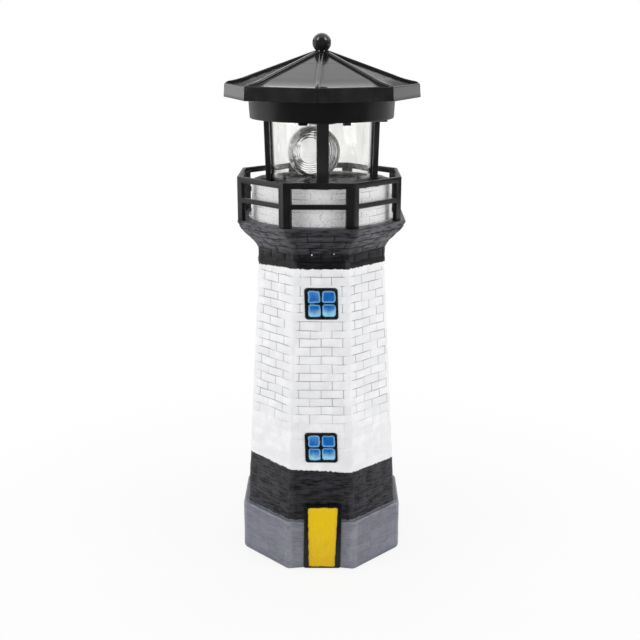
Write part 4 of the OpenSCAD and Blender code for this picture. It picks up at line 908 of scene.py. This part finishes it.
# %% The barrel
BARREL_FROM, BARREL_TO = 8.6, 19.2
LIP_R, BORE_R, RIBS = 11.3, 11.9, 7
rib_at = np.linspace(10.6, 17.2, 2 * RIBS)
rib_bore = BORE_R - 0.45 * (np.arange(2 * RIBS) % 2)
bore = np.stack([rib_bore, rib_at], 1)[::-1]
barrel_outline = np.concatenate([
    [(LIP_R, BARREL_FROM), (LENS_R, BARREL_FROM), (LENS_R, BARREL_FROM + 1.4),
     (LENS_R - 0.3, BARREL_FROM + 1.8), (LENS_R - 0.3, BARREL_TO - 1.6), (LENS_R, BARREL_TO - 1.3),
     (LENS_R, BARREL_TO), (BORE_R, BARREL_TO), (BORE_R, 17.6)], bore, [(LIP_R, 10.0)]])
barrel = aimed(turned(soft_corners(barrel_outline, 0.3, 3)))
tab_middle = ahead * (BARREL_FROM + BARREL_TO) / 2
tab = standing(rounded_box(2.0, 1.0, 0.3), [(0, 0, z, 0) for z in (222.7, 226.2, 228.2)])
tab = moved(spun(tab, LENS_TURN), tab_middle)
make_piece("barrel", [barrel, tab], edge_plastic, "rotor", "clear_plastic", ["lens_barrel"])

# %% The ringed lens
RINGS, EYE_R = 5, 6.6
RING_FOOT, RING_RISE, EYE_FOOT, EYE_RISE = 17.65, 1.15, 17.95, 0.5
lens_edge = BORE_R - 0.02
ring_r = EYE_R + np.arange(RINGS + 1) / RINGS * (lens_edge - EYE_R)
ring_s = np.linspace(0, 1, 4)
slope_r = ring_r[:-1, None] + 0.03 + (ring_r[1:, None] - ring_r[:-1, None] - 0.03) * ring_s
slope_z = RING_FOOT + RING_RISE * ring_s ** 1.3 + 0 * slope_r
eye_r = np.linspace(0, EYE_R, 10)
eye = np.stack([eye_r, EYE_FOOT + EYE_RISE * (eye_r / EYE_R) ** 2], 1)
lens_outline = np.concatenate([eye, np.stack([slope_r.ravel(), slope_z.ravel()], 1),
                               [(lens_edge, 18.6), (lens_edge, 18.9), (11.7, 19.0), (0, 19.0)]])
make_piece("ringed_lens", [aimed(turned(lens_outline))], lens_plastic, "rotor", "clear_plastic",
           ["fresnel_lens"], sharp=25)

# %% The lamp
LAMP_R, DOME_Z = 2.4, 208.9
lamp_turn = np.linspace(-math.pi / 2, 0, 12)
lamp_outline = np.concatenate([
    np.stack([LAMP_R * np.cos(lamp_turn), DOME_Z + LAMP_R * np.sin(lamp_turn)], 1),
    [(LAMP_R, 212.0), (LAMP_R, 214.0), (2.38, 214.7), (2.2, 214.88), (1.8, 214.9), (0, 214.9)]])
lamp_outline[0, 0] = 0
make_piece("lamp", [turned(lamp_outline, steps=64)], lamp_epoxy, "lantern_head", "led_lens",
           ["led_lamp"])

# %% [markdown]
# ## The housing
# The round housing under the roof holds the motor, the cell and the board. It is a turned wall with
# a rounded lower edge, which draws one soft line of light round it, and a flat eight-sided soffit
# closes the eaves.

# %% The housing and the soffit
ROOF_TURN = -2.0
face_turn = math.radians(ROOF_TURN + 22.5)
housing_outline = [(5.06, HOUSING_Z), (36.0, HOUSING_Z), (36.74, 241.7), (34.4, 241.7),
                   (34.3, 231.5), (5.06, 231.5)]
housing = turned(soft_corners(housing_outline, [0.1, 0.6, 0.3, 0.3, 0.3, 0.1]), steps=192)
eave_cols = octagon_columns([np.linspace(-1, 1, 9)] * 8, 3, face_turn)
soffit_rings = [(36.2, 240.1, 36.2), (42.9, 240.1, 0.6), (43.05, 240.25, 0.6), (43.05, 241.6, 0.6),
                (42.9, 241.7, 0.6), (36.2, 241.7, 36.2)]
soffit = closed(octagon_rings(soffit_rings, *eave_cols[:2]))
make_piece("housing", [housing, soffit], housing_abs_painted_shade, "lantern_head", "black_plastic",
           ["housing_drum"])

# %% [markdown]
# ## The roof
# The roof is a shallow eight-sided pyramid whose eaves flare out into an upright band. Every face
# has a pocket for a solar pane, and a rib covers every ridge. The columns of the grid keep an even
# distance from the ridges, so the pockets' sides run beside the ribs as they do on the moulding.

# %% The roof's lines
PEAK_Z, EAVE_Z, BAND_Z = 261.674, 239.3, 245.7
RIDGE_FALL, FLARE_R, FLARE_Z, EAVE_R, EAVE_TOP_R = 0.357, 35.5, 249.0, 49.2, 48.7
COS_HALF = math.cos(EIGHTH / 2)


def bend(a, b, c, s):
    """Quadratic curve from a to c, pulled towards b."""
    s = np.asarray(s)[:, None]
    return (1 - s) ** 2 * np.array(a) + 2 * s * (1 - s) * np.array(b) + s ** 2 * np.array(c)


steps = np.linspace(0, 1, 9)
flare = bend((FLARE_R, FLARE_Z), (FLARE_R + 6, FLARE_Z - 6 * RIDGE_FALL - 0.35),
             (EAVE_TOP_R - 1.1, BAND_Z), steps)
pocket_from, pocket_to, pocket_deep = 15.0 / COS_HALF, 32.4 / COS_HALF, 1.07


def face_z(r):
    """Height of a face along its ridge, at distance r from the axis."""
    return PEAK_Z - RIDGE_FALL * r


slope_rows = [(r, face_z(r), deep) for r, deep in (
    (35.0, 0), (pocket_to + 0.04, 0), (pocket_to - 0.04, 1), (28.0, 1), (22.0, 1),
    (pocket_from + 0.04, 1), (pocket_from - 0.04, 0), (8.0, 0), (3.0, 0), (0.4, 0))]
out_rows = ([(EAVE_R - 0.35, EAVE_Z, 0), (EAVE_R - 0.05, EAVE_Z + 0.12, 0),
             (EAVE_R - 0.02, EAVE_Z + 0.5, 0), (EAVE_TOP_R + 0.03, BAND_Z - 0.3, 0),
             (EAVE_TOP_R - 0.1, BAND_Z + 0.15, 0), (EAVE_TOP_R - 0.35, BAND_Z + 0.35, 0),
             (EAVE_TOP_R - 0.9, BAND_Z + 0.35, 0), (EAVE_TOP_R - 1.05, BAND_Z + 0.1, 0)]
            + [(r, z, 0) for r, z in flare[::-1]] + slope_rows)
in_rows = [(0.4, PEAK_Z - 2.1, 0), (20.0, face_z(20.0) - 2.9, 0), (35.5, FLARE_Z - 2.6, 0),
           (41.0, 245.0, 0), (46.6, BAND_Z - 1.9, 0), (47.2, EAVE_Z + 0.4, 0),
           (47.5, EAVE_Z, 0)]
rows = np.array(out_rows + in_rows)
print("rows up and down the roof:", len(rows))

# %% The roof's faces
half = (rows[:, 0] * COS_HALF * FLAT)[:, None]
off = np.array([0.0, 0.32, 1.2, 1.93, 1.97])
side = np.maximum(half - off, half * (1 - 0.19 * np.arange(5)))
middle = side[:, -1:] * np.array([0.6, 0.2])
across = np.concatenate([-side, -middle, middle[:, ::-1], side[:, ::-1]], axis=1)
sunk = (rows[:, 2:] * (np.abs(across) < side[:, 3:4] - 0.01)) * pocket_deep
seam = (np.abs(across) > half - 0.01) * np.where(rows[:, 1:2] < BAND_Z + 0.3, 0.7, 0.0)
roof_grid = []
for k in range(8):
    n, along = face_axes(k, face_turn)
    flat = (rows[:, :1] * COS_HALF - seam)[..., None] * n + across[..., None] * along
    roof_grid.append(np.dstack([flat, rows[:, 1:2] - sunk]))
roof_shell = closed(np.concatenate(roof_grid, axis=1))
print("faces of the roof's mesh:", len(roof_shell[1]))

# %% The ribs
rib_line = np.concatenate([
    [(3.2, face_z(3.2)), (12.0, face_z(12.0)), (24.0, face_z(24.0)), (33.0, face_z(33.0))],
    flare[:-1], [(46.6, BAND_Z + 0.45), (47.5, BAND_Z + 0.25), (48.15, BAND_Z - 0.2),
                 (48.45, BAND_Z - 0.9)]])
rib_top = np.concatenate([np.full(len(rib_line) - 4, 1.25), [0.95, 0.75, 0.5, 0.3]])
rib_shape = soft_corners([(-1.2, -0.7), (1.2, -0.7), (1.05, 0.55), (0.62, 1.0), (-0.62, 1.0),
                          (-1.05, 0.55)], [0.05, 0.05, 0.2, 0.2, 0.2, 0.2], 3)
rib_w, rib_h = rib_shape[:, 0][None, :], rib_shape[:, 1][None, :]
rib_z = rib_line[:, 1:] + np.where(rib_h > 0, rib_h * rib_top[:, None], rib_h)
rib_r = rib_line[:, :1] + 0 * rib_w
rib = lofted(np.dstack([rib_w + 0 * rib_z, -rib_r, rib_z]))
rib = (rib[0], rib[1][:, ::-1], [cap[::-1] for cap in rib[2]])
ribs = [spun(rib, ROOF_TURN + 45 * k) for k in range(8)]
make_piece("roof", [roof_shell] + ribs, gloss_abs, "lantern_head", "black_gloss_plastic",
           ["roof_shell"], sharp=30)

# %% The ball on the peak
BALL_R, BALL_Z, BALL_FOOT = 4.65, 265.35, 3.55
ball_turn = np.linspace(math.asin(-BALL_FOOT / BALL_R), math.pi / 2, 28)
ball = np.stack([BALL_R * np.cos(ball_turn), BALL_Z + BALL_R * np.sin(ball_turn)], 1)
ball[-1, 0] = 0
finial_outline = np.concatenate([[(0, 257.7), (1.6, 257.7), (1.6, 260.5), (3.15, 260.6),
                                  (3.3, 260.75), (3.3, 261.0), (3.15, 261.5), (3.02, 261.72)],
                                 ball])
make_piece("ball", [turned(finial_outline, steps=96)], gloss_abs, "lantern_head",
           "black_gloss_plastic", ["roof_finial"])

# %% [markdown]
# ## The pieces that stay as measured
# Everything inside the housing keeps its measured shape and only takes its finish: the gears are
# white acetal, the cell has a green shrink film, and the screws are plated.

# %% Finishes by piece
finish_of = {"cast_resin": tower_paint, "black_plastic": satin_abs,
             "black_gloss_plastic": gloss_abs, "clear_plastic": acrylic,
             "led_lens": lamp_epoxy, "solar_cell": solar_glass,
             "white_plastic": white_acetal, "dark_plastic": dark_nylon, "steel": zinc,
             "black_steel": black_steel, "cell_wrap": cell_pvc, "board_laminate": laminate,
             "lead_insulation": lead_pvc}
for piece in frame["record"]["subparts"]:
    knob = piece["node"] == "switch_knob"
    for slot in frame["nodes"][piece["node"]].material_slots:
        slot.material = knob_nylon if knob else finish_of[piece["material_slot"]]
print("finishes:", len(finish_of) + 1)

# %% [markdown]
# ## The studio
# The ornament stands on a pale floor in front of plain white. Black plastic shows what it mirrors,
# so the studio has a dark side: a curved black card with a bright window on either side stands
# round the camera, a side card and a grey card go on behind the object, and a black apron lies on
# the floor in front. Only reflections see them, apart from the grey card, which also shows through
# the clear tube. The white between and over the cards then shows on the roof's slopes and on the
# housing's sides, and the faces towards the camera stay black, as in the photograph.

# %% The floor
def seen_by(add, *rays):
    """1 for the camera's own rays and for others of these kinds."""
    path = add("LightPath").node.outputs
    seen = path["Is Camera Ray"]
    for kind in rays:
        seen = add("Math", seen, path[kind], operation="MAXIMUM")
    return seen


def studio_floor():
    """Pale floor: mostly plain white to the camera, more so further out; a soft shadow stays."""
    finish, add = new_finish("pale studio floor")
    away = add("VectorMath", add("TexCoord", out="Object"), operation="LENGTH")
    plain = add("MapRange", away, 0.06, 0.3, 0.86, 1.0)
    amount = add("Math", seen_by(add, "Is Transmission Ray"), plain, operation="MULTIPLY")
    paper, glow = add("BsdfDiffuse", "#f2f2f2"), add("Emission", "#ffffff", 1.0)
    add("OutputMaterial", add("MixShader", amount, paper, glow))
    return finish


def stage_piece(name, points, quads, finish):
    """A mesh of the stage, in metres."""
    mesh = bpy.data.meshes.new(name)
    mesh.from_pydata(np.reshape(points, (-1, 3)).tolist(), [], np.asarray(quads).tolist())
    mesh.materials.append(finish)
    obj = new_object(name, mesh)
    print(f"{name}: {len(mesh.polygons)} faces on the stage")
    return obj


stage_piece("floor", [(-4, -4, 0), (4, -4, 0), (4, 4, 0), (-4, 4, 0)], [(0, 1, 2, 3)],
            studio_floor())

# %% Cards that only reflections see
CARD_R, CARD_Z, DARK = 1.3, 0.2, 0.15


def card(name, points, level, seen_through=False):
    """A glowing grid of points, unseen by the camera. Its strength is a number, or one for each
    point. `seen_through` lets it show behind clear pieces."""
    finish, add = new_finish(name)
    varies = np.ndim(level) > 0
    shown = add("Attribute", attribute_name="level", out="Fac") if varies else level
    add("OutputMaterial", add("Emission", "#ffffff", shown))
    obj = stage_piece(name, points, grid_quads(*points.shape[:2], loop_cols=False), finish)
    give_values(obj.data, {"level": level} if varies else {})
    obj.visible_camera = obj.visible_diffuse = obj.visible_shadow = False
    obj.visible_transmission = seen_through


def ball_card(name, turn, rise, level, **options):
    """Part of a sphere round the object, glowing by level(turn, rise) in degrees from the front."""
    turn, rise = np.meshgrid(turn, rise)
    u, v = np.radians(turn), np.radians(rise)
    points = CARD_R * np.dstack([np.cos(v) * np.sin(u), -np.cos(v) * np.cos(u), np.sin(v)])
    card(name, points + (0, 0, CARD_Z), level(turn, rise) + 0 * turn, **options)


def windows_either_side(turn, rise):
    """Dark all over, and up to 7 in a soft patch on each side, 62 degrees round and 45 up."""
    past = np.maximum(np.abs(np.abs(turn) - 62), np.abs(rise - 45)) - 11
    return DARK + (7 - DARK) * smooth_step(-past, -5, 0)


def grey_behind(turn, rise):
    """0.2 at its foot; at its top 1.5 on the right and 2.1 on the left, seen from the front."""
    return 0.2 + (1.3 + 0.6 * smooth_step(turn, 178, 190)) * smooth_step(rise, 17, 23)


ball_card("black_card", np.linspace(-78, 78, 53), np.linspace(-25, 62, 30), windows_either_side)
ball_card("side_card", np.linspace(78, 122, 12), np.linspace(-25, 12, 8),
          lambda turn, rise: DARK + 0.4 * smooth_step(turn, 88, 122))
ball_card("grey_card", np.linspace(105, 255, 31), np.linspace(7, 28, 12), grey_behind,
          seen_through=True)
u = np.radians(np.linspace(-80, 80, 33))
reach = np.array([0.075, 0.3, 1.284])[:, None]
card("black_apron", np.dstack([reach * np.sin(u), -reach * np.cos(u), MM + 0 * reach * u]), 0.14)

# %% The world and the lamps
FILL = 0.67
world = bpy.data.worlds.new("studio")
world.use_nodes = True
world.node_tree.nodes.clear()
bpy.context.scene.world = world
add = partial(add_node, world.node_tree)
seen = seen_by(add, "Is Transmission Ray", "Is Glossy Ray")
strength = add("MapRange", seen, 0, 1, FILL, 1.0, interpolation_type="LINEAR")
add("OutputWorld", add("Background", "#ffffff", strength))


def softbox(name, place, aim_at, width, height, watts, mirrored):
    """Rectangular area lamp at `place`, turned to face `aim_at` (metres)."""
    lamp = bpy.data.lights.new(name, "AREA")
    lamp.shape, lamp.size, lamp.size_y, lamp.energy = "RECTANGLE", width, height, watts
    obj = new_object(name, lamp)
    obj.location = place
    obj.rotation_euler = (Vector(aim_at) - Vector(place)).to_track_quat("-Z", "Y").to_euler()
    obj.visible_glossy = mirrored
    print(f"{name}: {watts} W")


softbox("overhead", (0.0, 1.0, 1.2), (0, 0, 0.2), 2.4, 1.4, 2.7, True)
for name, x in (("left", -1.3), ("right", 1.3)):
    softbox(name, (x, -0.55, 0.3), (0, 0, 0.14), 0.9, 0.9, 9.2, False)

# %% [markdown]
# ## The camera
# The camera stands half a metre in front, a little above the roof's peak, and looks slightly down,
# which is where the photograph was taken from.

# %% The camera
CAMERA_AT, LOOKS_DOWN, TILT, FOCAL_MM = (0.003955, -0.51304, 0.27018), 0.2778, 0.0094, 56.72
camera_data = bpy.data.cameras.new("camera")
camera_data.sensor_width, camera_data.lens = 36.0, FOCAL_MM
camera = new_object("camera", camera_data)
camera.location = CAMERA_AT
camera.rotation_euler = (math.pi / 2 - LOOKS_DOWN, 0, TILT)
bpy.context.scene.camera = camera
bpy.context.scene.view_settings.view_transform = "Standard"
print("camera:", CAMERA_AT, FOCAL_MM, "mm")
